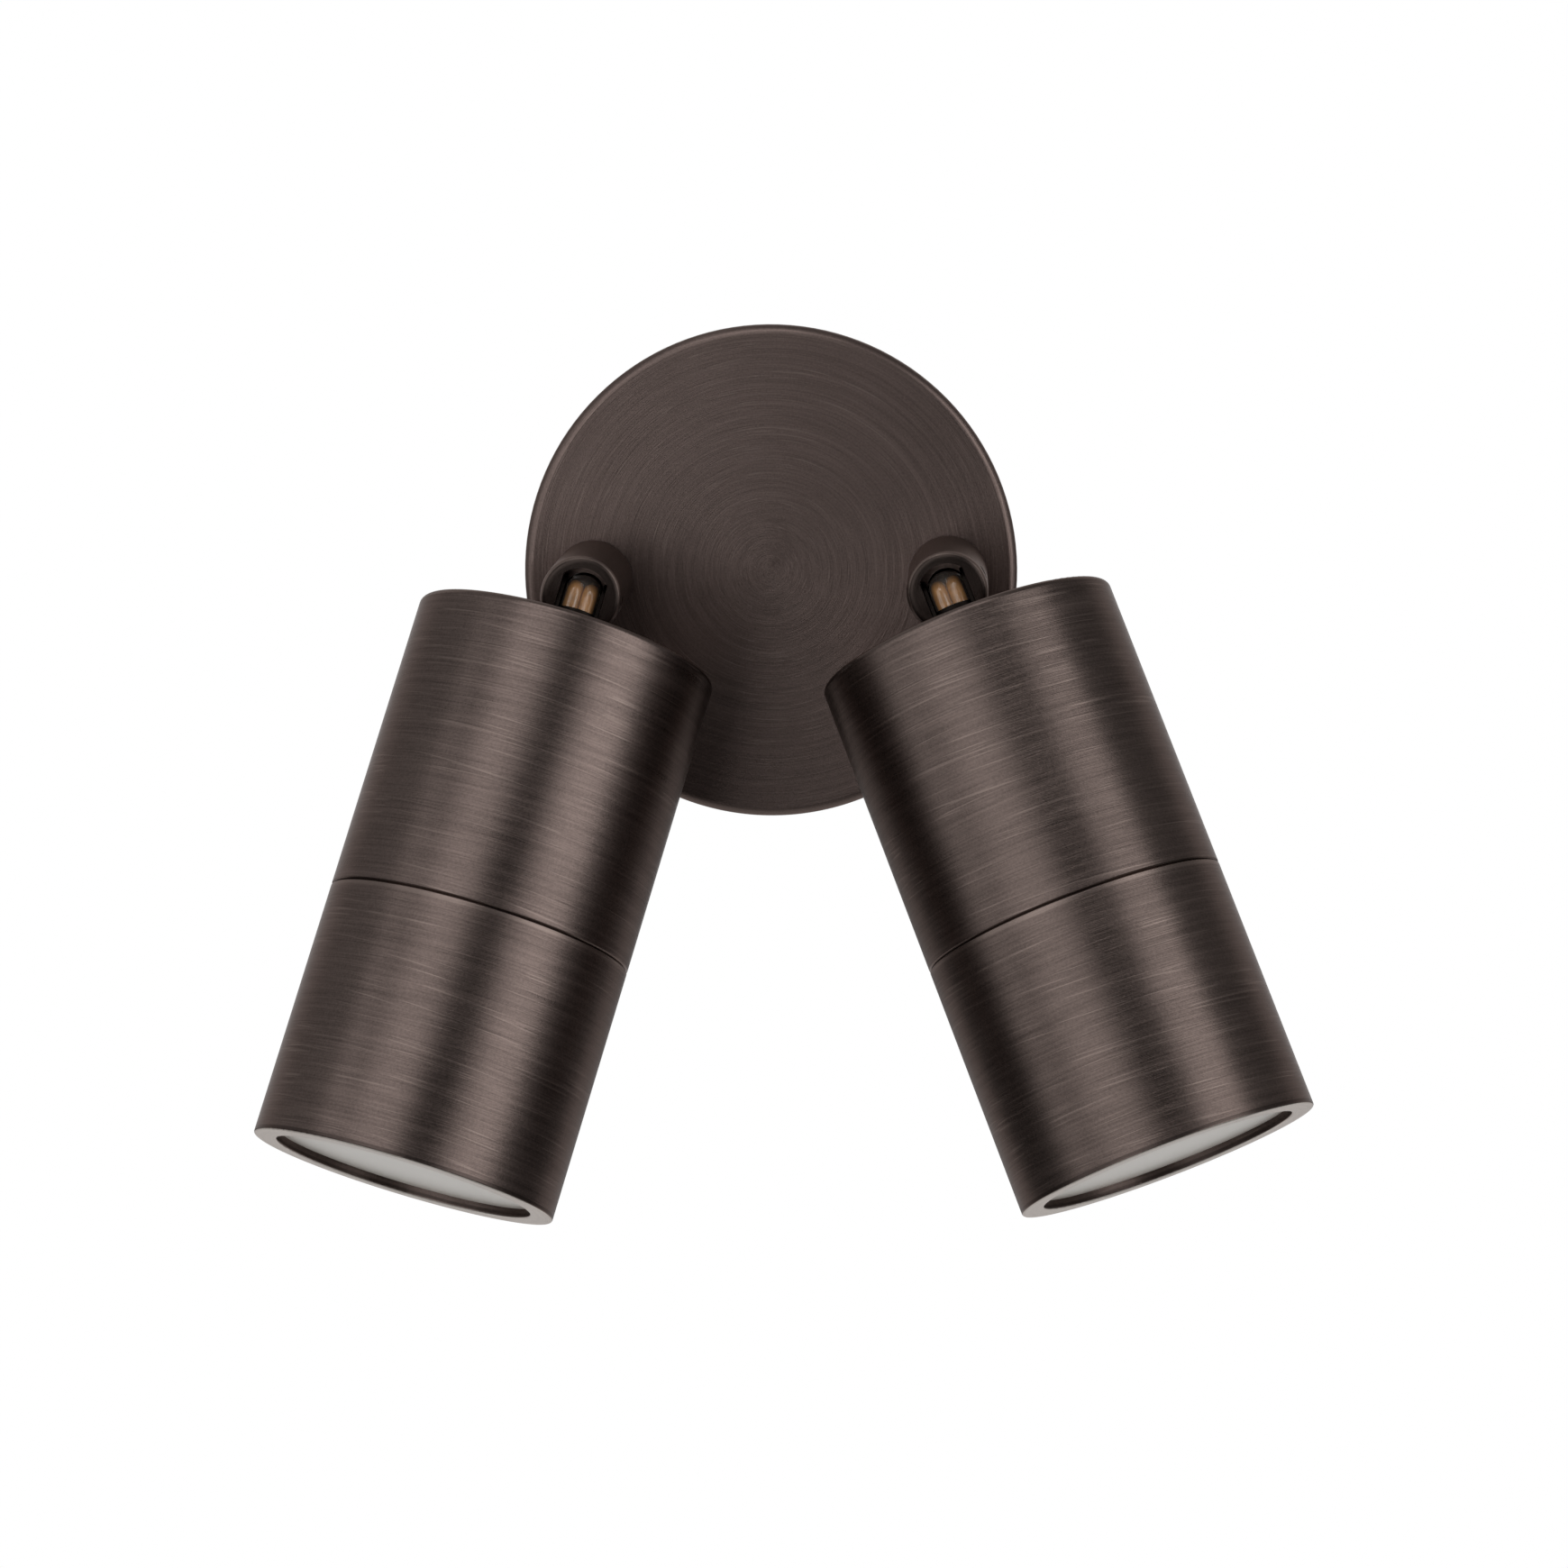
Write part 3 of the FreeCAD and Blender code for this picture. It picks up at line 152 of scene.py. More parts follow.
class SpotFinish(bpy.types.PropertyGroup):
    canopy: colour("Canopy", "Burnished brass of the canopy", (0.120, 0.0905, 0.0820))
    post: colour("Posts", "Burnished brass of the posts", (0.165, 0.1260, 0.1120))
    stem: colour("Stems", "Blackened brass of the stems", (0.010, 0.008, 0.007))
    left_head: colour("Left head", "Burnished brass of the left head", (0.108, 0.0825, 0.0745))
    # The right head's brass is a darker copy of the left head's: painted shade for the weaker light on the
    # right head.
    right_head: colour("Right head", "Burnished brass of the right head", (0.096, 0.0735, 0.0660))
    front_ring: colour("Front rings", "Bare, faced metal round the front glasses", (0.50, 0.47, 0.435))
    # Lighter brass for scratches and rubbed edges, which is wear, and for the line beside the heads'
    # seams, which is a painted highlight.
    rubbed_and_sheen: colour("Rubbed brass", "Brass where edges are rubbed through", (0.200, 0.157, 0.140))
    bright: colour("Bright brass", "Machined brass inside", (0.55, 0.42, 0.20))
    bright_rubbed: colour("Rubbed bright brass", "Machined brass at its rubbed edges", (0.66, 0.52, 0.28))
    blackened: colour("Blackened steel", "Set screws of the canopy and the posts", (0.05, 0.046, 0.043))
    rubber: colour("Black rubber", "Grommet, seals and O-rings", (0.02, 0.02, 0.02))
    wire: colour("Wires", "Insulation of the lamp wires", (0.400, 0.185, 0.050))
    sleeve: colour("Sleeves", "Clear silicone sleeves", (0.46, 0.39, 0.35))
    glass: colour("Front glasses", "Satin glass", (0.64, 0.60, 0.55))
    lines: number("Brush lines", "Brush lines for each millimetre", 3.4)
    line_depth: length("Line depth", "Depth of the brush lines", 0.000008)
    groove_depth: length("Groove depth", "Depth of the finest grooves, which spread reflections", 0.00002)


class SpotStudio(bpy.types.PropertyGroup):
    camera: FloatVectorProperty(
        name="Camera", description="Place of the camera", default=(0.04186, -1.12127, 0.10044),
        unit="LENGTH", size=3, precision=5,
    )
    yaw: number("Yaw", "Camera turned left, degrees", 2.0697)
    pitch: number("Pitch", "Camera tilted down, degrees", 7.4329)
    roll: number("Roll", "Camera rolled, degrees", -0.9115)
    focal: number("Focal length", "Focal length in pixels of the photograph", 6053.04)
    sensor: number("Sensor", "Sensor width in millimetres", 36.0)
    floor_drop: length("Floor drop", "From the canopy's centre down to the floor", 1.1)
    left_light: number("Left light", "Brightness of the broad light left of the camera", 1.75)
    left_fill: number("Left fill", "Brightness of the narrow light further left", 1.0)
    right_light: number("Right light", "Brightness of the light on the right", 2.45)
    high_light: number("High light", "Brightness of the light above the camera", 2.6)
    front_room: number("Front", "Brightness of the room behind the camera", 0.06)
    left_room: number("Left side", "Brightness of the room on the left", 0.47)
    right_room: number("Right side", "Brightness of the room on the right", 0.25)
    back_room: number("Back", "Brightness of the backdrop beyond the part that the camera sees", 0.85)
    low_room: number("Below", "Brightness of the room below the object", 0.06)
    sweep_room: number("Sweep", "Light from the white sweep below and behind the object", 0.55)


# Shader maths

class Value:
    """One output of a node. Arithmetic on it adds Math nodes."""

    def __init__(self, shader, socket):
        self.shader = shader
        self.socket = socket

    def math(self, operation, *others):
        return self.shader.node("ShaderNodeMath", {"operation": operation}, [self, *others])

    def output(self, name):
        return Value(self.shader, self.socket.node.outputs[name])

    def __add__(self, other):
        return self.math("ADD", other)

    def __radd__(self, other):
        return self.math("ADD", other)

    def __sub__(self, other):
        return self.math("SUBTRACT", other)

    def __rsub__(self, other):
        return self.shader.node("ShaderNodeMath", {"operation": "SUBTRACT"}, [other, self])

    def __mul__(self, other):
        return self.math("MULTIPLY", other)

    def __rmul__(self, other):
        return self.math("MULTIPLY", other)

    def __truediv__(self, other):
        return self.math("DIVIDE", other)

    def __rtruediv__(self, other):
        return self.shader.node("ShaderNodeMath", {"operation": "DIVIDE"}, [other, self])

    def __pow__(self, other):
        return self.math("POWER", other)


class Shader:
    """The nodes of one material or of the world."""

    def __init__(self, tree):
        self.tree = tree

    def node(self, kind, settings=None, inputs=None, output=0):
        """Add a node: settings first, then its inputs as a list or by name. Returns one output."""
        made = self.tree.nodes.new(kind)
        for name, value in (settings or {}).items():
            setattr(made, name, value)
        pairs = inputs.items() if isinstance(inputs, dict) else enumerate(inputs or [])
        for key, value in pairs:
            if value is None:
                continue
            if isinstance(value, Value):
                self.tree.links.new(value.socket, made.inputs[key])
            else:
                made.inputs[key].default_value = value
        return Value(self, made.outputs[output]) if len(made.outputs) else made

    def object_point(self, place=None):
        """Object coordinates, or a place's own coordinates in metres."""
        point = self.node("ShaderNodeTexCoord", output="Object")
        if place is None:
            return point
        return self.node(
            "ShaderNodeMapping",
            {"vector_type": "TEXTURE"},
            {"Vector": point, "Location": place.translation, "Rotation": place.to_euler()},
        )

    def split(self, vector):
        x = self.node("ShaderNodeSeparateXYZ", inputs=[vector])
        return x, x.output("Y"), x.output("Z")

    def join(self, x, y, z):
        return self.node("ShaderNodeCombineXYZ", inputs=[x, y, z])

    def noise(self, vector, scale=1.0, detail=2.0, rough=0.5, w=None):
        settings = {"noise_dimensions": "3D" if w is None else "4D"}
        inputs = {"Vector": vector, "Scale": scale, "Detail": detail, "Roughness": rough}
        if w is not None:
            inputs["W"] = w
        return self.node("ShaderNodeTexNoise", settings, inputs)

    def spread(self, value, low, high, to_low=0.0, to_high=1.0):
        """Smooth step of value from low..high to to_low..to_high."""
        return self.node(
            "ShaderNodeMapRange",
            {"interpolation_type": "SMOOTHSTEP"},
            {"Value": value, "From Min": low, "From Max": high, "To Min": to_low, "To Max": to_high},
        )

    def mix(self, factor, first, second):
        """Colour mix; colours are tuples or Values."""
        made = self.tree.nodes.new("ShaderNodeMix")
        made.data_type = "RGBA"
        for socket, value in ((made.inputs[0], factor), (made.inputs[6], first), (made.inputs[7], second)):
            if isinstance(value, Value):
                self.tree.links.new(value.socket, socket)
            elif isinstance(value, (int, float)):
                socket.default_value = value
            else:
                socket.default_value = (*value[:3], 1)
        return Value(self, made.outputs[2])

    def bump(self, height, distance):
        inputs = {"Height": height, "Distance": distance, "Strength": 1.0}
        return self.node("ShaderNodeBump", inputs=inputs)


def new_material(name):
    material = bpy.data.materials.new(name)
    material.use_nodes = True
    material.node_tree.nodes.clear()
    return material, Shader(material.node_tree)


def surface(shader, **sockets):
    """Principled surface; names with underscores stand for the sockets' names with spaces."""
    inputs = {name.replace("_", " "): value for name, value in sockets.items()}
    for name, value in inputs.items():
        if isinstance(value, tuple) and len(value) == 3:
            inputs[name] = (*value, 1)
    made = shader.node("ShaderNodeBsdfPrincipled", inputs=inputs)
    shader.node("ShaderNodeOutputMaterial", inputs={"Surface": made})


def scaled(colour_value, factor):
    return tuple(min(1.0, channel * factor) for channel in colour_value)


# Finishes

def turned_metal(
    name, place, tone, edges=(), zones=(), shine=0.30, rub_and_sheen=0.6, contrast=1.0, grit=0.25, rubbed_and_sheen=None
):
    """Burnished metal, brushed in circles round a place's Z axis.

    edges are (radius, height, width) circles in metres where the finish is lighter: rubbed wear, and at
    some edges a painted highlight.
    zones are (low, high, tone): between two heights the metal has another tone; at the posts' ends this is
    painted shade, and just behind the heads' front rings a painted dark reflection.
    The rub amount says how much the edges are lightened, and grit how much of the tone is plain grain.
    """
    finish = bpy.context.scene.wall_spot_finish
    rubbed_and_sheen = tuple(finish.rubbed_and_sheen) if rubbed_and_sheen is None else rubbed_and_sheen
    material, shader = new_material(name)
    point = shader.object_point(place)
    x, y, z = shader.split(point)
    radius = ((x * x) + (y * y)) ** 0.5
    off_axis = radius.math("MAXIMUM", 0.0003)
    east = x / off_axis
    north = y / off_axis

    def lines(per_mm, breaks, detail, shift=0.0, slant=0.0):
        """Lines round the axis; breaks is how often one breaks off on its way round."""
        across = per_mm / MM
        height = z + (x + y * 0.6) * slant
        vector = shader.join(radius * across + shift, height * across, east * breaks)
        return shader.noise(vector, 1.0, detail, 0.62, w=north * breaks)

    fine = lines(finish.lines, breaks=1.7, detail=1.5)
    hair = lines(finish.lines * 2.3, breaks=2.6, detail=1.0, shift=17.3)
    broad = lines(finish.lines * 0.30, breaks=1.1, detail=1.0, shift=31.7)
    bands = lines(finish.lines * 0.06, breaks=0.7, detail=1.0, shift=7.3)
    grooves = lines(finish.lines * 4.2, breaks=3.2, detail=0.0, shift=57.9)
    patches = shader.noise(point, 48.0, 4.0, 0.55)
    grain = shader.noise(point, 2300.0, 2.0, 0.6)
    groups = shader.spread(shader.noise(point, 85.0, 2.0, 0.5), 0.46, 0.62)
    sparse = lines(finish.lines * 0.90, breaks=0.9, detail=0.0, shift=83.1)
    scratch = shader.spread(sparse, 0.66, 0.76) * groups
    slanted = lines(finish.lines * 0.70, breaks=1.4, detail=0.0, shift=12.9, slant=0.055)
    scratch = scratch.math("MAXIMUM", shader.spread(slanted, 0.68, 0.78) * 0.8)

    shade = fine * 0.26 + hair * 0.20 + broad * 0.16 + grain * grit + patches * (0.38 - grit)
    half = 0.33 * contrast
    tone_mask = shader.spread(shade, 0.33, 0.67)
    colour_value = shader.mix(tone_mask, scaled(tone, 1 - half), scaled(tone, 1 + half))
    # Lighter marks: scratches and rubbed edges are wear, and the edge circle beside a head's seam is a
    # painted highlight.
    wear_and_sheen = scratch * (0.55 * contrast)
    for edge_radius, edge_height, width in edges:
        far = (radius - edge_radius).math("ABSOLUTE")
        far = far.math("MAXIMUM", (z - edge_height).math("ABSOLUTE"))
        ragged = far + (broad - 0.5) * (width * 1.2)
        wear_and_sheen = wear_and_sheen.math("MAXIMUM", shader.spread(ragged, width * 0.3, width, rub_and_sheen, 0.0))
    colour_value = shader.mix(wear_and_sheen, colour_value, rubbed_and_sheen)
    soft = 0.00008
    zone_half = half * 0.6
    # Zones of another tone: the front ring is bare metal, the posts' end faces are painted shade, and the
    # band behind each front ring is a painted dark reflection.
    for low, high, zone_tone in zones:
        inside = shader.spread(z, low - soft, low + soft)
        inside = inside * shader.spread(z, high - soft, high + soft, 1.0, 0.0)
        varied = shader.mix(tone_mask, scaled(zone_tone, 1 - zone_half), scaled(zone_tone, 1 + zone_half))
        colour_value = shader.mix(inside, colour_value, varied)
    height = fine + broad * 1.5 + bands * 3.0 + scratch * 0.6
    height = height + grooves * (finish.groove_depth / finish.line_depth)
    rough = shine + (broad - 0.5) * 0.08 + (patches - 0.5) * 0.05 + (grain - 0.5) * 0.06
    surface(
        shader,
        Base_Color=colour_value,
        Metallic=1.0,
        Roughness=rough,
        Specular_Tint=scaled((1, 0.94, 0.92), 0.6),
        Normal=shader.bump(height, finish.line_depth),
    )
    return material


def sheet_steel(name, tone=(0.55, 0.56, 0.57)):
    """Zinc plated sheet: a soft spangle, faint rolling lines and a yellowish cast in places."""
    material, shader = new_material(name)
    point = shader.object_point()
    spangle = shader.node("ShaderNodeTexVoronoi", {"feature": "F1"}, {"Vector": point, "Scale": 420.0})
    spangle = spangle.output("Color")
    shade = shader.node("ShaderNodeRGBToBW", inputs=[spangle])
    x, y, z = shader.split(point)
    rolling = shader.noise(shader.join(x * 60, y * 60, z * 4000), 1.0, 2.0)
    cast = shader.noise(point, 70.0, 3.0)
    colour_value = shader.mix(shade * 0.5 + rolling * 0.5, scaled(tone, 0.82), scaled(tone, 1.12))
    yellowish = (0.56, 0.50, 0.36)
    colour_value = shader.mix(shader.spread(cast, 0.5, 0.75, 0.0, 0.45), colour_value, yellowish)
    surface(
        shader,
        Base_Color=colour_value,
        Metallic=1.0,
        Roughness=0.30 + shade * 0.12 + rolling * 0.08,
        Normal=shader.bump(rolling + shade * 0.3, 0.000005),
    )
    return material


def moulded(name, tone, shine=0.45, grain=900.0, depth=0.00001, mottle=0.08, coat=0.0):
    """Moulded plastic or rubber: a fine skin, faint flow marks and dust in the hollows of the skin."""
    material, shader = new_material(name)
    point = shader.object_point()
    skin = shader.noise(point, grain, 3.0, 0.6)
    flow = shader.noise(point, 55.0, 3.0, 0.5)
    colour_value = shader.mix(flow, scaled(tone, 1 - mottle), scaled(tone, 1 + mottle))
    dust = (0.30, 0.28, 0.26)
    colour_value = shader.mix(shader.spread(skin, 0.30, 0.45, 0.12, 0.0), colour_value, dust)
    surface(
        shader,
        Base_Color=colour_value,
        Roughness=shine + (skin - 0.5) * 0.2 + (flow - 0.5) * 0.1,
        Coat_Weight=coat,
        Normal=shader.bump(skin, depth),
    )
    return material


def foam_rubber(name):
    """Closed-cell foam: round pores of several sizes."""
    material, shader = new_material(name)
    point = shader.object_point()
    pores = shader.node("ShaderNodeTexVoronoi", {"feature": "F1"}, {"Vector": point, "Scale": 2600.0})
    small = shader.node("ShaderNodeTexVoronoi", {"feature": "F1"}, {"Vector": point, "Scale": 6100.0})
    wall = shader.spread(pores, 0.15, 0.6) * 0.7 + shader.spread(small, 0.15, 0.6) * 0.3
    # Painted shade: the pores are much darker than the cell walls between them.
    pore_shade = (0.010, 0.010, 0.011)
    between = (0.055, 0.055, 0.058)
    colour_value = shader.mix(wall, pore_shade, between)
    surface(shader, Base_Color=colour_value, Roughness=0.85, Normal=shader.bump(wall, 0.00012))
    return material


def wire_skin(name):
    """Amber silicone insulation: glossy, slightly cloudy, with faint drawing lines."""
    finish = bpy.context.scene.wall_spot_finish
    material, shader = new_material(name)
    point = shader.object_point()
    cloudy = shader.noise(point, 260.0, 2.0, 0.5)
    streaks = shader.noise(point, 1500.0, 2.0, 0.6)
    shade = shader.spread(cloudy * 0.7 + streaks * 0.3, 0.3, 0.7)
    colour_value = shader.mix(shade, scaled(finish.wire, 0.65), scaled(finish.wire, 1.15))
    surface(
        shader,
        Base_Color=colour_value,
        Roughness=0.24 + (streaks - 0.5) * 0.1,
        Coat_Weight=0.6,
        Coat_Roughness=0.08,
        Normal=shader.bump(streaks, 0.00001),
    )
    return material


def clear_sleeve(name):
    """Clear silicone tube: see-through from the front, milky at its edges, with a wet shine."""
    finish = bpy.context.scene.wall_spot_finish
    material, shader = new_material(name)
    point = shader.object_point()
    waves = shader.noise(point, 330.0, 2.0, 0.5)
    rim = shader.node("ShaderNodeLayerWeight", inputs={"Blend": 0.5}, output="Facing")
    surface(
        shader,
        Base_Color=shader.mix(waves, scaled(finish.sleeve, 0.8), tuple(finish.sleeve)),
        Roughness=0.12 + waves * 0.08,
        Alpha=shader.spread(rim + (waves - 0.5) * 0.1, 0.45, 1.0, 0.06, 0.9),
        Coat_Weight=1.0,
        Coat_Roughness=0.05,
        Normal=shader.bump(waves, 0.0001),
    )
    return material


def satin_glass(name, place):
    """Etched front glass: fine frost, slightly clearer and greener at the ground edge."""
    finish = bpy.context.scene.wall_spot_finish
    material, shader = new_material(name)
    point = shader.object_point(place)
    x, y = shader.split(point)[:2]
    radius = ((x * x) + (y * y)) ** 0.5
    frost = shader.noise(point, 5200.0, 2.0, 0.7)
    cloud = shader.noise(point, 60.0, 3.0, 0.5)
    edge_start = 0.0255
    edge_end = 0.0266
    greenish = (0.40, 0.44, 0.41)
    edge = shader.spread(radius, edge_start, edge_end)
    colour_value = shader.mix(cloud, scaled(finish.glass, 0.95), scaled(finish.glass, 1.05))
    colour_value = shader.mix(edge * 0.4, colour_value, greenish)
    surface(
        shader,
        Base_Color=colour_value,
        Roughness=0.34 + (frost - 0.5) * 0.15,
        Alpha=0.93 - edge * 0.1,
        IOR=1.5,
        Normal=shader.bump(frost, 0.000004),
    )
    return material


def lamp_glass(name, tone, opacity):
    """Pressed lamp glass: glossy, slightly wavy, with flow streaks and a denser rim."""
    material, shader = new_material(name)
    point = shader.object_point()
    waves = shader.noise(point, 160.0, 2.0, 0.5)
    streaks = shader.noise(point, 900.0, 3.0, 0.6)
    rim = shader.node("ShaderNodeLayerWeight", inputs={"Blend": 0.4}, output="Facing")
    surface(
        shader,
        Base_Color=shader.mix(waves * 0.6 + streaks * 0.4, scaled(tone, 0.8), scaled(tone, 1.15)),
        Roughness=0.06 + streaks * 0.10,
        Alpha=shader.spread(rim, 0.2, 1.0, opacity, 1.0),
        Coat_Weight=0.5,
        Normal=shader.bump(waves + streaks * 0.2, 0.00006),
    )
    return material


# Modelling

def start_clean():
    """Object mode with nothing selected, because loading leaves the solids selected."""
    active = bpy.context.view_layer.objects.active
    if active is not None and active.mode != "OBJECT":
        bpy.ops.object.mode_set(mode="OBJECT")
    bpy.ops.object.select_all(action="DESELECT")


def pick(piece):
    """Select one piece alone and make it the active one."""
    start_clean()
    piece.select_set(True)
    bpy.context.view_layer.objects.active = piece


def dress(piece, material):
    """Give a new piece its one material."""
    piece.data.materials.clear()
    piece.data.materials.append(material)


def settle(piece, place):
    """Put a finished piece in its place, with the place in its mesh."""
    piece.matrix_world = place
    pick(piece)
    bpy.ops.object.transform_apply(location=True, rotation=True, scale=True)
    if place.determinant() < 0:
        raise ValueError(f"{piece.name} would be mirrored")
    piece.select_set(False)


def use_modifier(piece, kind, **settings):
    """Add a modifier to a piece and apply it at once."""
    pick(piece)
    modifier = piece.modifiers.new(kind.title(), kind)
    for name, value in settings.items():
        setattr(modifier, name, value)
    bpy.ops.object.modifier_apply(modifier=modifier.name)


def profile_chain(name, points):
    """A chain of edges in the XZ plane, drawn by extruding one vertex from point to point."""
    start_clean()
    bpy.ops.mesh.primitive_plane_add(size=MM, location=(0, 0, 0))
    piece = bpy.context.active_object
    piece.name = name
    bpy.ops.object.mode_set(mode="EDIT")
    bpy.ops.mesh.merge(type="CENTER")
    bpy.ops.transform.translate(value=(points[0][0], 0, points[0][1]))
    for before, after in zip(points, points[1:]):
        step = (after[0] - before[0], 0, after[1] - before[1])
        bpy.ops.mesh.extrude_vertices_move(TRANSFORM_OT_translate={"value": step})
    bpy.ops.mesh.select_all(action="SELECT")
    return piece


def turned_piece(name, points, steps, place, material, smooth=30):
    """Spin a profile of (radius, height) once round the Z axis and settle it in its place."""
    piece = profile_chain(name, points)
    bpy.ops.mesh.spin(steps=steps, angle=math.tau, center=(0, 0, 0), axis=(0, 0, 1))
    bpy.ops.mesh.select_all(action="SELECT")
    bpy.ops.mesh.remove_doubles(threshold=0.000002)
    bpy.ops.mesh.normals_make_consistent(inside=False)
    bpy.ops.object.mode_set(mode="OBJECT")
    if smooth:
        bpy.ops.object.shade_smooth_by_angle(angle=math.radians(smooth))
    dress(piece, material)
    settle(piece, place)
    return piece


def joined(pieces, name):
    """Several pieces made into one with a new name."""
    start_clean()
    for piece in pieces:
        piece.select_set(True)
    bpy.context.view_layer.objects.active = pieces[0]
    bpy.ops.object.join()
    pieces[0].name = name
    pieces[0].data.name = name
    return pieces[0]


def push_out(piece, start, end, shift):
    """Bulge the middle of a bend outwards, fading to nothing past its start and end."""
    sizes = bpy.context.scene.wall_spot_sizes
    chord = (end - start).normalized()
    middle = (start + end) / 2
    pick(piece)
    bpy.ops.object.mode_set(mode="EDIT")
    bpy.ops.mesh.select_mode(type="VERT")
    bpy.ops.mesh.select_all(action="DESELECT")
    bpy.ops.object.mode_set(mode="OBJECT")
    near = 0.1 * MM
    ring = [vertex for vertex in piece.data.vertices if abs((vertex.co - middle).dot(chord)) < near]
    if not ring:
        raise ValueError(f"{piece.name} has no ring of points in the middle of its bend")
    for vertex in ring:
        vertex.select = True
    bpy.ops.object.mode_set(mode="EDIT")
    bpy.ops.transform.translate(
        value=shift, use_proportional_edit=True, proportional_edit_falloff="SMOOTH",
        proportional_size=sizes.bulge_reach,
    )
    bpy.ops.object.mode_set(mode="OBJECT")


def bent_tube(name, side, radius, offset, push, end, capped, around=28):
    """A tube along the lead: out through the post, round the bend at the tilt axis, into the head.

    offset moves it along the tilt axis, and push moves it towards the outside of the bend.
    Returns the tube and where its bend starts and ends.
    """
    sizes = bpy.context.scene.wall_spot_sizes
    post = post_place(side)
    head = head_place(side)
    hinge = head.translation
    out = Vector((0, -1, 0))
    along = head.col[2].to_3d()
    sideways = head.col[0].to_3d()
    turn = out.angle(along)
    set_back = sizes.bend * math.tan(turn / 2)
    inward = (along - out * along.dot(out)).normalized()
    outward_in_head = (out - along * out.dot(along)).normalized()
    shift = sideways * offset - inward * push
    start = post.translation - out * sizes.tail_end + shift
    bend_start = hinge - out * set_back + shift
    centre = bend_start + inward * (sizes.bend + push)
    start_clean()
    bpy.ops.mesh.primitive_circle_add(
        vertices=around, radius=radius, fill_type="NGON" if capped else "NOTHING",
        location=start, rotation=out.to_track_quat("Z", "Y").to_euler(),
    )
    piece = bpy.context.active_object
    piece.name = name
    bpy.ops.object.transform_apply(location=True, rotation=True, scale=True)
    bpy.ops.object.mode_set(mode="EDIT")
    bpy.ops.mesh.select_all(action="SELECT")
    extrude = bpy.ops.mesh.extrude_region_move if capped else bpy.ops.mesh.extrude_edges_move
    runs = 6
    bend_steps = 16
    for _ in range(runs):
        extrude(TRANSFORM_OT_translate={"value": (bend_start - start) / runs})
    axis = out.cross(along).normalized()
    bpy.ops.mesh.spin(steps=bend_steps, angle=-turn, center=centre, axis=axis)
    shift_in_head = sideways * offset + outward_in_head * push
    bend_end = hinge + along * set_back + shift_in_head
    length_in_head = end - set_back
    for _ in range(runs):
        extrude(TRANSFORM_OT_translate={"value": along * (length_in_head / runs)})
    bpy.ops.mesh.select_all(action="SELECT")
    bpy.ops.mesh.remove_doubles(threshold=0.00001)
    if capped:
        bpy.ops.mesh.normals_make_consistent(inside=False)
    bpy.ops.object.mode_set(mode="OBJECT")
    push_out(piece, bend_start, bend_end, (out - along).normalized() * sizes.bulge)
    tip = hinge + along * end + shift_in_head
    nearest = min((tip - vertex.co).length for vertex in piece.data.vertices)
    if nearest > radius * 1.05:
        raise ValueError(f"{name} ends {nearest / MM:.2f} mm off its place in the head")
    bpy.ops.object.shade_smooth_by_angle(angle=math.radians(40))
    return piece, bend_start, bend_end


def finish_node(material, *nodes):
    """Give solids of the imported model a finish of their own."""
    for node in nodes:
        slots = frame["nodes"][node].material_slots
        if not slots:
            raise ValueError(f"{node} has no material slot")
        for slot in slots:
            slot.material = material


# One operator for each piece or group of like pieces

class PieceOperator(bpy.types.Operator):
    """Make one piece or a group of like pieces."""
    bl_idname = "wall_spot.piece"
    bl_label = "Piece"
    bl_options = {"REGISTER", "UNDO"}

    def build(self, sizes, finish):
        raise NotImplementedError(self.bl_idname)

    def execute(self, context):
        self.build(context.scene.wall_spot_sizes, context.scene.wall_spot_finish)
        return {"FINISHED"}


class CanopyOperator(PieceOperator):
    """Finish the canopy, its set screws, the foam ring on the wall and the washers under the posts."""
    bl_idname = "wall_spot.canopy"
    bl_label = "Canopy"

    def build(self, sizes, finish):
        brass = turned_metal(
            "canopy_brushed_brass", canopy_place(), tuple(finish.canopy),
            edges=[(sizes.canopy_radius, sizes.canopy_depth, 0.0009)],
            shine=0.38, rub_and_sheen=0.35, contrast=0.65, grit=0.30,
        )
        finish_node(brass, "canopy")
        finish_node(foam_rubber("wall_foam"), "wall_gasket")
        nylon = moulded("nylon_washer", (0.05, 0.05, 0.052), 0.5)
        finish_node(nylon, "post_washer_left", "post_washer_right")
        blackened = turned_metal(
            "blackened_steel_vertical", turned_place((0, -0.008, 0), (0, 0, 1), (1, 0, 0)),
            tuple(finish.blackened), shine=0.4,
        )
        finish_node(blackened, "canopy_screws")


class WallFittingsOperator(PieceOperator):
    """Finish what the canopy hides: bracket, grommet, terminal block, screws and wires."""
    bl_idname = "wall_spot.wall_fittings"
    bl_label = "Wall fittings"

    def build(self, sizes, finish):
        finish_node(sheet_steel("zinc_bracket"), "mounting_bracket", "terminal_fixing_screw")
        finish_node(moulded("black_grommet", tuple(finish.rubber), 0.6), "cable_grommet")
        finish_node(moulded("terminal_nylon", (0.78, 0.77, 0.72), 0.4), "terminal_block")
        plain = turned_place((0, 0, 0), (0, -1, 0), (1, 0, 0))
        brass = turned_metal(
            "terminal_brass", plain, tuple(finish.bright), shine=0.28, rubbed_and_sheen=tuple(finish.bright_rubbed)
        )
        finish_node(brass, "terminal_screws", "earth_screw")
        finish_node(wire_skin("canopy_wire_skin"), "canopy_wires_left", "canopy_wires_right")


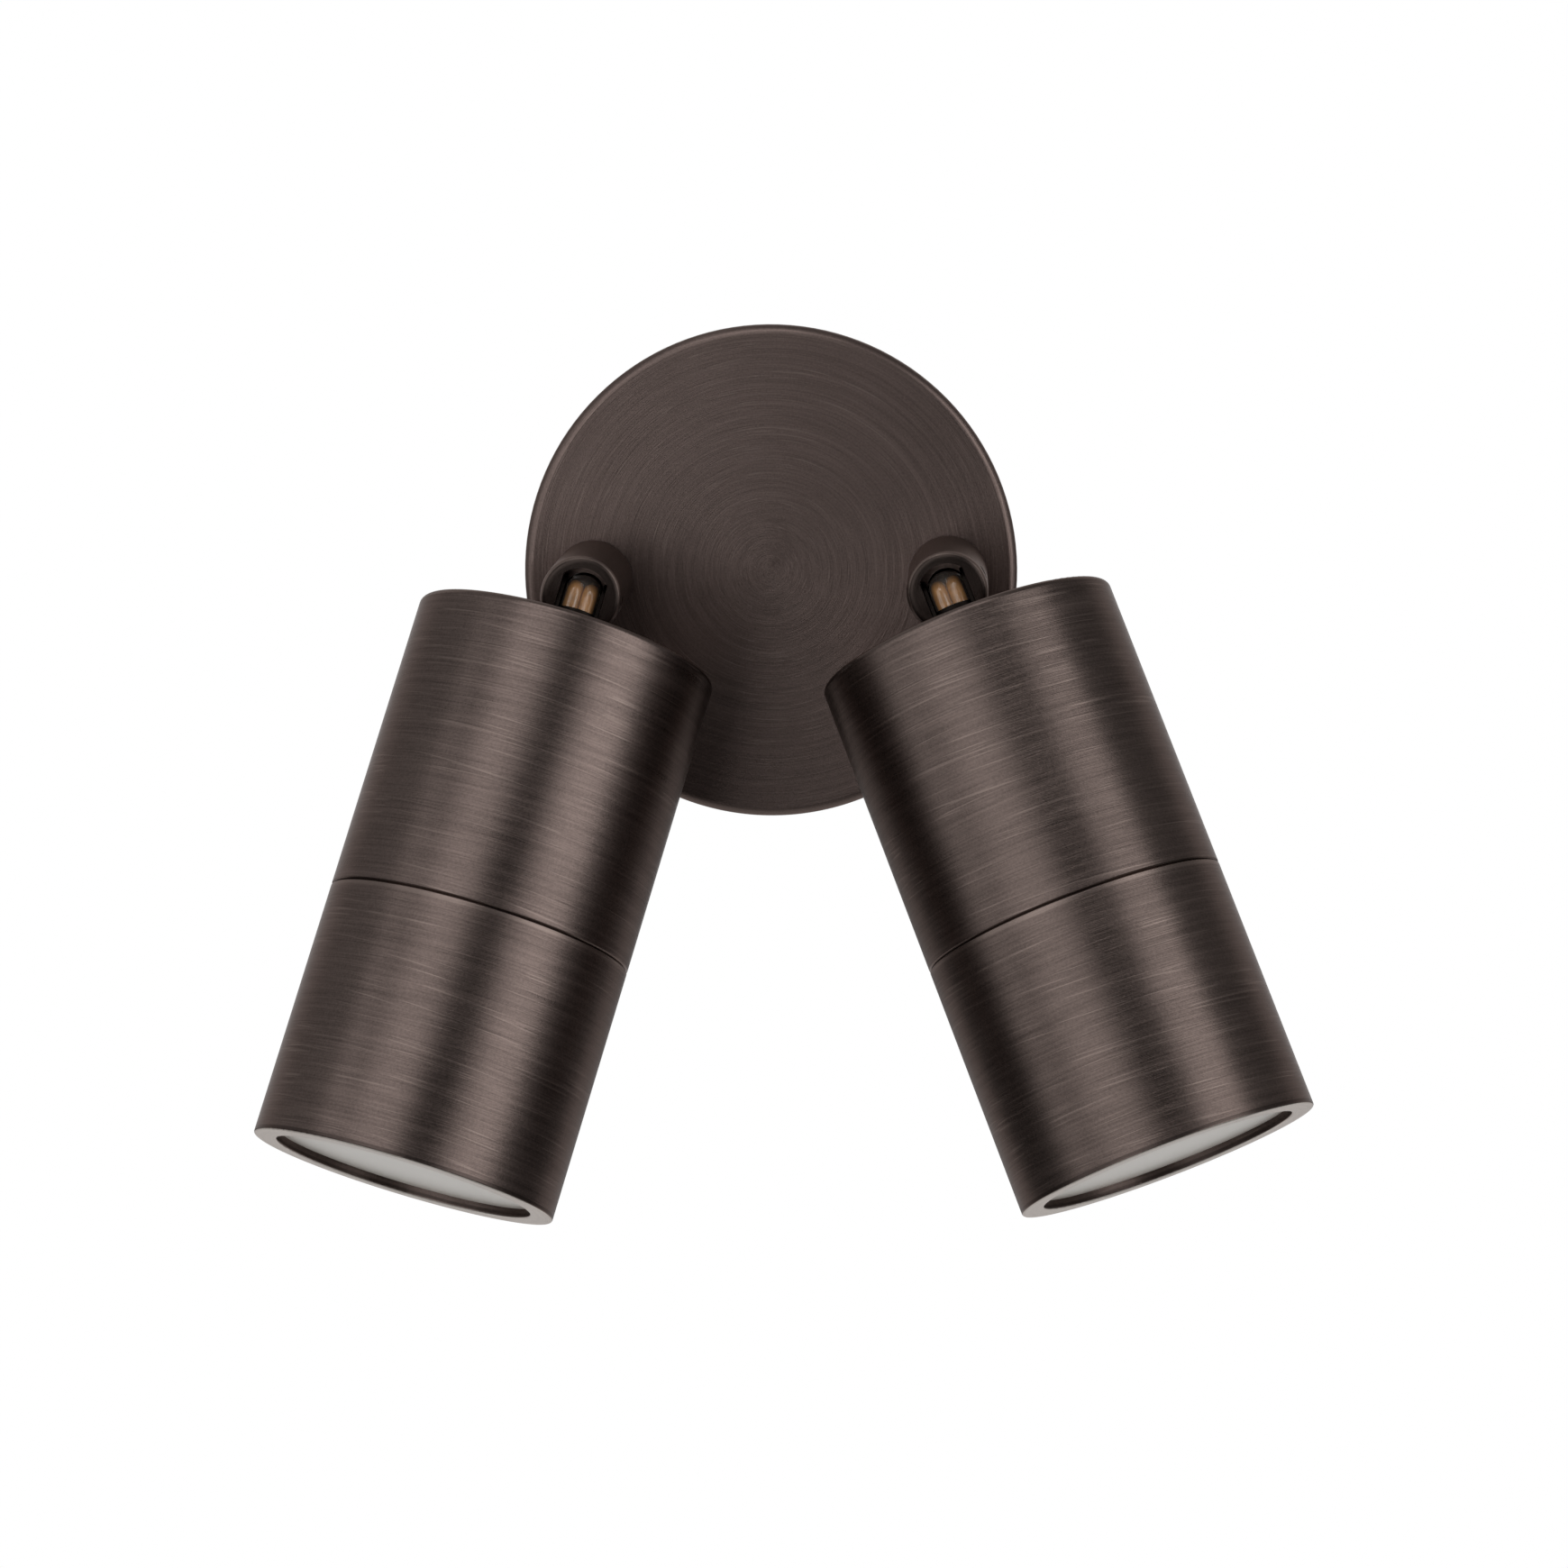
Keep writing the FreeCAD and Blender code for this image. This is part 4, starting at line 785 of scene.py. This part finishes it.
class PostsOperator(PieceOperator):
    """Finish the slotted posts with their pivot screws, and the washers and nuts behind them."""
    bl_idname = "wall_spot.posts"
    bl_label = "Posts"

    def build(self, sizes, finish):
        zinc = sheet_steel("zinc_washers")
        for side in SIDES:
            place = post_place(side)
            brass = turned_metal(
                f"post_brass_{side}", place, tuple(finish.post),
                # The lighter circle at the post's end edge is rubbed wear and partly a painted highlight
                # on its rounding.
                edges=[(sizes.post_radius - 0.0005, sizes.post_length, 0.0010)],
                # Painted shade: the post's end face is darkened to a fifth of the post's tone.
                zones=[(sizes.post_length - 0.0003, sizes.post_length + 0.001, scaled(finish.post, 0.2))],
                shine=0.34, rub_and_sheen=0.25,
            )
            finish_node(brass, f"post_{side}")
            bright = turned_metal(
                f"nut_brass_{side}", place, tuple(finish.bright), shine=0.3,
                rubbed_and_sheen=tuple(finish.bright_rubbed),
            )
            finish_node(bright, f"post_nut_{side}")
            finish_node(zinc, f"post_spring_washer_{side}")
            tilt = JOINTS[f"{side}_tilt"]
            pivot = turned_place(tilt["pos_m"], tilt["axis"], (0, 1, 0))
            blackened = turned_metal(f"pivot_steel_{side}", pivot, tuple(finish.blackened), shine=0.4)
            finish_node(blackened, f"pivot_screws_{side}")


class StemsOperator(PieceOperator):
    """Finish the forked stems that the heads hang on, with their seals, washers and nuts."""
    bl_idname = "wall_spot.stems"
    bl_label = "Stems"

    def build(self, sizes, finish):
        seal = moulded("stem_seal_rubber", tuple(finish.rubber), 0.5)
        zinc = sheet_steel("zinc_stem_washers")
        for side in SIDES:
            brass = turned_metal(
                f"stem_brass_{side}", head_place(side), tuple(finish.stem),
                shine=0.45, contrast=0.6, rubbed_and_sheen=scaled(finish.stem, 2.5),
            )
            finish_node(brass, f"stem_{side}")
            bright = turned_metal(
                f"stem_nut_brass_{side}", head_place(side), tuple(finish.bright), shine=0.3,
                rubbed_and_sheen=tuple(finish.bright_rubbed),
            )
            finish_node(bright, f"stem_nut_{side}")
            finish_node(seal, f"stem_seal_{side}")
            finish_node(zinc, f"stem_washer_{side}")


class LeadsOperator(PieceOperator):
    """Make the clear sleeves and the amber wires in them, which bend at the tilt axis."""
    bl_idname = "wall_spot.leads"
    bl_label = "Leads"

    def build(self, sizes, finish):
        skin = wire_skin("lamp_wire_skin")
        clear = clear_sleeve("clear_sleeve")
        for side in SIDES:
            wires = []
            for name, sign in (("live", 1), ("neutral", -1)):
                wire, _, _ = bent_tube(
                    f"wire_{side}_{name}", side, sizes.wire_radius, sign * sizes.wire_offset,
                    sizes.wire_push, sizes.wire_end, capped=True,
                )
                wires.append(wire)
            pair = joined(wires, f"wire_pair_{side}")
            dress(pair, skin)
            sleeve, start, end = bent_tube(
                f"sleeve_tube_{side}", side, sizes.sleeve_radius, 0, 0, sizes.sleeve_end,
                capped=False, around=40,
            )
            use_modifier(sleeve, "SOLIDIFY", thickness=sizes.sleeve_wall, offset=-1, use_rim=True)
            dress(sleeve, clear)
            leads = ((pair, "wires", "amber_wire"), (sleeve, "sleeve", "clear_silicone"))
            for piece, node, slot in leads:
                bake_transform(piece)
                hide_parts(f"{node}_{side}")


class HeadsOperator(PieceOperator):
    """Finish the brushed shells of both heads, their end plates and the O-rings in their seams."""
    bl_idname = "wall_spot.heads"
    bl_label = "Heads"

    def build(self, sizes, finish):
        rubber = moulded("seam_rubber", tuple(finish.rubber), 0.5)
        # The right head takes the darker copy of the brass, which is painted shade.
        for side, tone in zip(SIDES, (finish.left_head, finish.right_head)):
            radius = sizes.head_radius
            brass = turned_metal(
                f"head_brushed_brass_{side}", head_place(side), tuple(tone),
                # The edge circle just in front of the seam is a painted highlight on the seam's chamfer.
                edges=[(radius, sizes.head_rear, 0.0009), (radius, sizes.head_seam + 0.0007, 0.0008)],
                zones=[
                    # Painted dark reflection: the band just behind the front ring is darkened to 0.6 of
                    # the head's tone.
                    (sizes.head_front - 0.0010, sizes.head_front - 0.0004, scaled(tone, 0.6)),
                    (sizes.head_front - 0.0002, sizes.head_front + 0.001, tuple(finish.front_ring)),
                ],
            )
            finish_node(brass, f"rear_body_{side}", f"rear_plate_{side}", f"front_body_{side}")
            finish_node(rubber, f"seam_ring_{side}")


class GlazingOperator(PieceOperator):
    """Finish the front glasses with their silicone rings and snap rings."""
    bl_idname = "wall_spot.glazing"
    bl_label = "Glazing"

    def build(self, sizes, finish):
        silicone = moulded("milky_silicone", (0.55, 0.54, 0.52), 0.4)
        spring = sheet_steel("spring_steel", (0.42, 0.42, 0.43))
        for side in SIDES:
            finish_node(satin_glass(f"satin_glass_{side}", head_place(side)), f"glass_{side}")
            finish_node(silicone, f"glass_gasket_{side}")
            finish_node(spring, f"glass_ring_{side}")


class LampHoldersOperator(PieceOperator):
    """Finish the ceramic lamp holders, their brackets and screws."""
    bl_idname = "wall_spot.lamp_holders"
    bl_label = "Lamp holders"

    def build(self, sizes, finish):
        ceramic = moulded("glazed_ceramic", (0.78, 0.77, 0.74), 0.18, 500.0, 0.000004, 0.05, coat=0.5)
        zinc = sheet_steel("zinc_strap")
        for side in SIDES:
            finish_node(ceramic, f"lamp_holder_{side}")
            finish_node(zinc, f"holder_bracket_{side}", f"holder_screws_{side}")


class LampsOperator(PieceOperator):
    """Make the reflector lamps: glass bowl, facetted mirror, capsule, lens, ceramic base and pins."""
    bl_idname = "wall_spot.lamps"
    bl_label = "Lamps"

    def build(self, sizes, finish):
        ceramic = moulded("lamp_ceramic", (0.74, 0.73, 0.69), 0.35, 700.0, 0.000008, 0.06)
        pressed = lamp_glass("lamp_bowl_glass", (0.55, 0.56, 0.56), 0.9)
        clear = lamp_glass("lamp_lens_glass", (0.62, 0.63, 0.62), 0.35)
        mirror = sheet_steel("lamp_mirror", (0.80, 0.78, 0.80))
        nickel = sheet_steel("nickel_pins", (0.62, 0.60, 0.57))
        for side in SIDES:
            place = head_place(side)
            parts = [
                turned_piece(f"lamp_base_{side}", base_profile(sizes), 48, place, ceramic),
                turned_piece(f"lamp_bowl_{side}", bowl_profile(sizes), 72, place, pressed),
                turned_piece(f"lamp_mirror_{side}", mirror_profile(sizes), 30, place, mirror, smooth=0),
                turned_piece(f"lamp_capsule_{side}", capsule_profile(sizes), 32, place, clear),
                turned_piece(f"lamp_lens_{side}", lens_profile(sizes), 72, place, clear),
            ]
            for name, sign in (("live", 1), ("neutral", -1)):
                beside = place @ Matrix.Translation((sign * sizes.pin_pitch / 2, 0, 0))
                pin = f"lamp_pin_{name}_{side}"
                parts.append(turned_piece(pin, pin_profile(sizes), 24, beside, nickel))
            for piece in parts:
                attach(piece, f"{side}_head")
                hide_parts(f"lamp_{side}")


def bowl_curve(sizes, inset, count):
    """Reflector's curve from the neck to under the rim, moved inwards by inset."""
    low_radius = sizes.lamp_base - inset
    high_radius = sizes.lamp_radius - 0.0008 - inset
    low = sizes.lamp_back + sizes.lamp_neck + inset * 0.3
    high = sizes.lamp_front - 0.0048
    points = []
    for step in range(count + 1):
        share = step / count
        radius = math.sqrt(low_radius ** 2 + (high_radius ** 2 - low_radius ** 2) * share)
        points.append((radius, low + (high - low) * share))
    return points


def bowl_profile(sizes):
    """Outside of the glass bowl with its rim, and back down the inside."""
    rim = sizes.lamp_radius
    front = sizes.lamp_front
    outside = bowl_curve(sizes, 0.0, 14)
    inside = bowl_curve(sizes, sizes.lamp_wall, 10)
    lip = [
        (rim - 0.0002, front - 0.0046),
        (rim, front - 0.0042),
        (rim, front - 0.0006),
        (rim - 0.0006, front),
        (rim - 0.0016, front),
        (rim - 0.0020, front - 0.0006),
        (rim - 0.0020, front - 0.0040),
    ]
    return outside + lip + inside[::-1] + [outside[0]]


def mirror_profile(sizes):
    """Thin mirror inside the bowl, in few steps so that it is facetted."""
    near = bowl_curve(sizes, sizes.lamp_wall + 0.0001, 9)
    far = bowl_curve(sizes, sizes.lamp_wall + 0.0005, 9)
    return near + far[::-1] + [near[0]]


def base_profile(sizes):
    """Ceramic base with a groove round its waist and eased edges."""
    radius = sizes.lamp_base
    back = sizes.lamp_back
    top = back + sizes.lamp_neck + 0.001
    waist = back + sizes.lamp_neck * 0.55
    return [
        (0, back),
        (radius - 0.0008, back),
        (radius, back + 0.0008),
        (radius, waist - 0.0012),
        (radius - 0.0007, waist - 0.0006),
        (radius - 0.0007, waist + 0.0006),
        (radius, waist + 0.0012),
        (radius, top - 0.0016),
        (radius - 0.0016, top),
        (0, top),
    ]


def capsule_profile(sizes):
    """Small lamp capsule on the axis, pinched at its foot and with a tip at its end."""
    foot = sizes.lamp_back + sizes.lamp_neck + 0.001
    radius = 0.0045
    return [
        (0, foot),
        (0.0026, foot),
        (0.0028, foot + 0.0050),
        (radius, foot + 0.0075),
        (radius, foot + 0.0160),
        (0.0040, foot + 0.0180),
        (0.0026, foot + 0.0194),
        (0.0009, foot + 0.0200),
        (0.0005, foot + 0.0212),
        (0, foot + 0.0214),
    ]


def lens_profile(sizes):
    """Slightly domed lens inside the rim, with stepped rings on its inner face."""
    radius = sizes.lamp_radius - 0.0022
    face = sizes.lamp_front - 0.0008
    rings = 6
    points = [
        (0, face),
        (radius * 0.6, face - 0.0002),
        (radius - 0.0004, face - 0.0006),
        (radius, face - 0.0010),
        (radius, face - 0.0024),
    ]
    for ring in range(rings):
        outer = radius * (1 - ring / rings) - 0.0006
        points.append((outer, face - 0.0026))
        points.append((outer - radius / rings * 0.5, face - 0.0020))
    points.append((0, face - 0.0024))
    return points


def pin_profile(sizes):
    """Contact pin with a round head for the holder's bayonet slots."""
    radius = sizes.pin_radius
    head = sizes.pin_head
    top = sizes.lamp_back + 0.0005
    end = sizes.lamp_back - sizes.pin_length
    return [
        (0, end),
        (head - 0.0005, end),
        (head, end + 0.0004),
        (head, end + 0.0014),
        (head - 0.0004, end + 0.0018),
        (radius, end + 0.0020),
        (radius, top),
        (0, top),
    ]


class StageOperator(PieceOperator):
    """Set up the camera, the pale floor, the soft lights and the white background."""
    bl_idname = "wall_spot.stage"
    bl_label = "Stage"

    def build(self, sizes, finish):
        studio = bpy.context.scene.wall_spot_studio
        place_camera(studio)
        lay_floor(studio)
        hang_lights(studio)
        light_world(studio)
        bpy.context.scene.view_settings.view_transform = "Standard"


def place_camera(studio):
    """Camera at the photograph's place, with its focal length in the photograph's pixels."""
    start_clean()
    yaw, pitch, roll = (math.radians(angle) for angle in (studio.yaw, studio.pitch, studio.roll))
    ahead = Vector((-math.sin(yaw) * math.cos(pitch), math.cos(yaw) * math.cos(pitch), -math.sin(pitch)))
    level = Vector((math.cos(yaw), math.sin(yaw), 0))
    up = level.cross(ahead)
    right = level * math.cos(roll) + up * math.sin(roll)
    top = up * math.cos(roll) - level * math.sin(roll)
    matrix = Matrix((right, top, -ahead)).transposed().to_4x4()
    matrix.translation = Vector(studio.camera)
    bpy.ops.object.camera_add()
    camera = bpy.context.active_object
    camera.name = "camera"
    camera.matrix_world = matrix
    camera.data.sensor_fit = "AUTO"
    camera.data.sensor_width = studio.sensor
    camera.data.lens = studio.focal / PHOTO_WIDTH * studio.sensor
    camera.data.clip_start = 0.05
    camera.data.clip_end = 50
    camera.data.dof.use_dof = False
    bpy.context.scene.camera = camera


def lay_floor(studio):
    """Plain pale floor with a softened edge, below the view of the camera."""
    material, shader = new_material("pale_floor")
    cloud = shader.noise(shader.object_point(), 3.0, 3.0)
    surface(shader, Base_Color=shader.mix(cloud, (0.74, 0.74, 0.73), (0.80, 0.80, 0.79)), Roughness=0.8)
    start_clean()
    width = 3.4
    depth = 2.6
    centre_y = -1.05
    bpy.ops.mesh.primitive_plane_add(size=1, location=(0, centre_y, -studio.floor_drop))
    floor = bpy.context.active_object
    floor.name = "floor"
    floor.scale = (width, depth, 1)
    bpy.ops.object.transform_apply(location=True, rotation=True, scale=True)
    use_modifier(floor, "SOLIDIFY", thickness=0.02, offset=-1)
    use_modifier(floor, "BEVEL", width=0.008, segments=3)
    floor.data.materials.append(material)


def hang_light(name, azimuth, elevation, distance, width, height, radiance):
    """Soft rectangular light of a given brightness, seen from the object in a direction in degrees.

    Azimuth 0 is straight out from the wall, and 90 is to the right as seen from the room.
    """
    start_clean()
    target = Vector((0, -0.05, -0.03))
    turn = math.radians(azimuth)
    rise = math.radians(elevation)
    way = Vector((math.sin(turn) * math.cos(rise), -math.cos(turn) * math.cos(rise), math.sin(rise)))
    aim = (-way).to_track_quat("-Z", "Y").to_euler()
    bpy.ops.object.light_add(type="AREA", location=target + way * distance, rotation=aim)
    light = bpy.context.active_object
    light.name = name
    light.data.name = name
    light.data.shape = "RECTANGLE"
    light.data.size = width
    light.data.size_y = height
    light.data.energy = radiance * math.pi * width * height


def hang_lights(studio):
    """A broad light on either side of the camera, a narrow one further left and one above.

    Each row is name, azimuth, elevation, distance, width and height.
    """
    rows = (
        ("left_light", -26, 13, 1.2, 0.85, 1.10),
        ("left_fill", -60, 5, 1.2, 0.42, 1.30),
        ("right_light", 52, 14, 1.2, 0.76, 1.15),
        ("high_light", -9, 53, 1.3, 0.80, 0.52),
    )
    for name, azimuth, elevation, distance, width, height in rows:
        hang_light(name, azimuth, elevation, distance, width, height, getattr(studio, name))


def light_world(studio):
    """White background behind the object, a dimmer room in front of it."""
    world = bpy.data.worlds.new("studio")
    bpy.context.scene.world = world
    world.use_nodes = True
    world.node_tree.nodes.clear()
    shader = Shader(world.node_tree)
    way = shader.node("ShaderNodeTexCoord", output="Generated")
    x, y, z = shader.split(way)
    backdrop = shader.spread(y, 0.95, 0.99)
    sweep = shader.spread(y, 0.05, 0.35) * shader.spread(z, -0.20, -0.38)
    sweep = sweep * shader.spread(x.math("ABSOLUTE"), 0.60, 0.85, 1.0, 0.0)
    seen = shader.node("ShaderNodeLightPath", output="Is Camera Ray")
    mirrored = seen.output("Is Glossy Ray").math("MAXIMUM", seen.output("Is Transmission Ray"))
    white = seen.math("MAXIMUM", mirrored * backdrop.math("MAXIMUM", sweep))
    sides = shader.spread(x, -0.3, 0.3, studio.left_room, studio.right_room)
    room = shader.spread(y, -0.30, -0.70) * (studio.front_room - sides) + sides
    room = shader.spread(y, 0.45, 0.75) * (studio.back_room - room) + room
    low = sweep * (studio.sweep_room - studio.low_room) + studio.low_room
    room = shader.spread(z, -0.10, -0.25) * (low - room) + room
    tone = white * (1 - room) + room
    background = shader.node("ShaderNodeBackground", inputs={"Color": tone, "Strength": 1.0})
    shader.node("ShaderNodeOutputWorld", inputs={"Surface": background})


class WallSpotPanel(bpy.types.Panel):
    """Panel in the sidebar that lists the settings and the pieces."""
    bl_idname = "VIEW3D_PT_wall_spot"
    bl_label = "Wall Spot"
    bl_space_type = "VIEW_3D"
    bl_region_type = "UI"
    bl_category = "Wall Spot"

    def draw(self, context):
        for operator in OPERATORS:
            self.layout.operator(operator.bl_idname)
        for group in ("wall_spot_sizes", "wall_spot_finish", "wall_spot_studio"):
            settings = getattr(context.scene, group)
            box = self.layout.box()
            for name in type(settings).__annotations__:
                box.prop(settings, name)


OPERATORS = (
    CanopyOperator,
    WallFittingsOperator,
    PostsOperator,
    StemsOperator,
    LeadsOperator,
    HeadsOperator,
    GlazingOperator,
    LampHoldersOperator,
    LampsOperator,
    StageOperator,
)
GROUPS = {"wall_spot_sizes": SpotSizes, "wall_spot_finish": SpotFinish, "wall_spot_studio": SpotStudio}


def register():
    for group in GROUPS.values():
        bpy.utils.register_class(group)
    for name, group in GROUPS.items():
        setattr(bpy.types.Scene, name, PointerProperty(type=group))
    for operator in OPERATORS:
        bpy.utils.register_class(operator)
    bpy.utils.register_class(WallSpotPanel)


def unregister():
    bpy.utils.unregister_class(WallSpotPanel)
    for operator in reversed(OPERATORS):
        bpy.utils.unregister_class(operator)
    for name in GROUPS:
        delattr(bpy.types.Scene, name)
    for group in reversed(GROUPS.values()):
        bpy.utils.unregister_class(group)


def main():
    register()
    for operator in OPERATORS:
        family, name = operator.bl_idname.split(".")
        getattr(getattr(bpy.ops, family), name)()


if __name__ == "__main__":
    main()
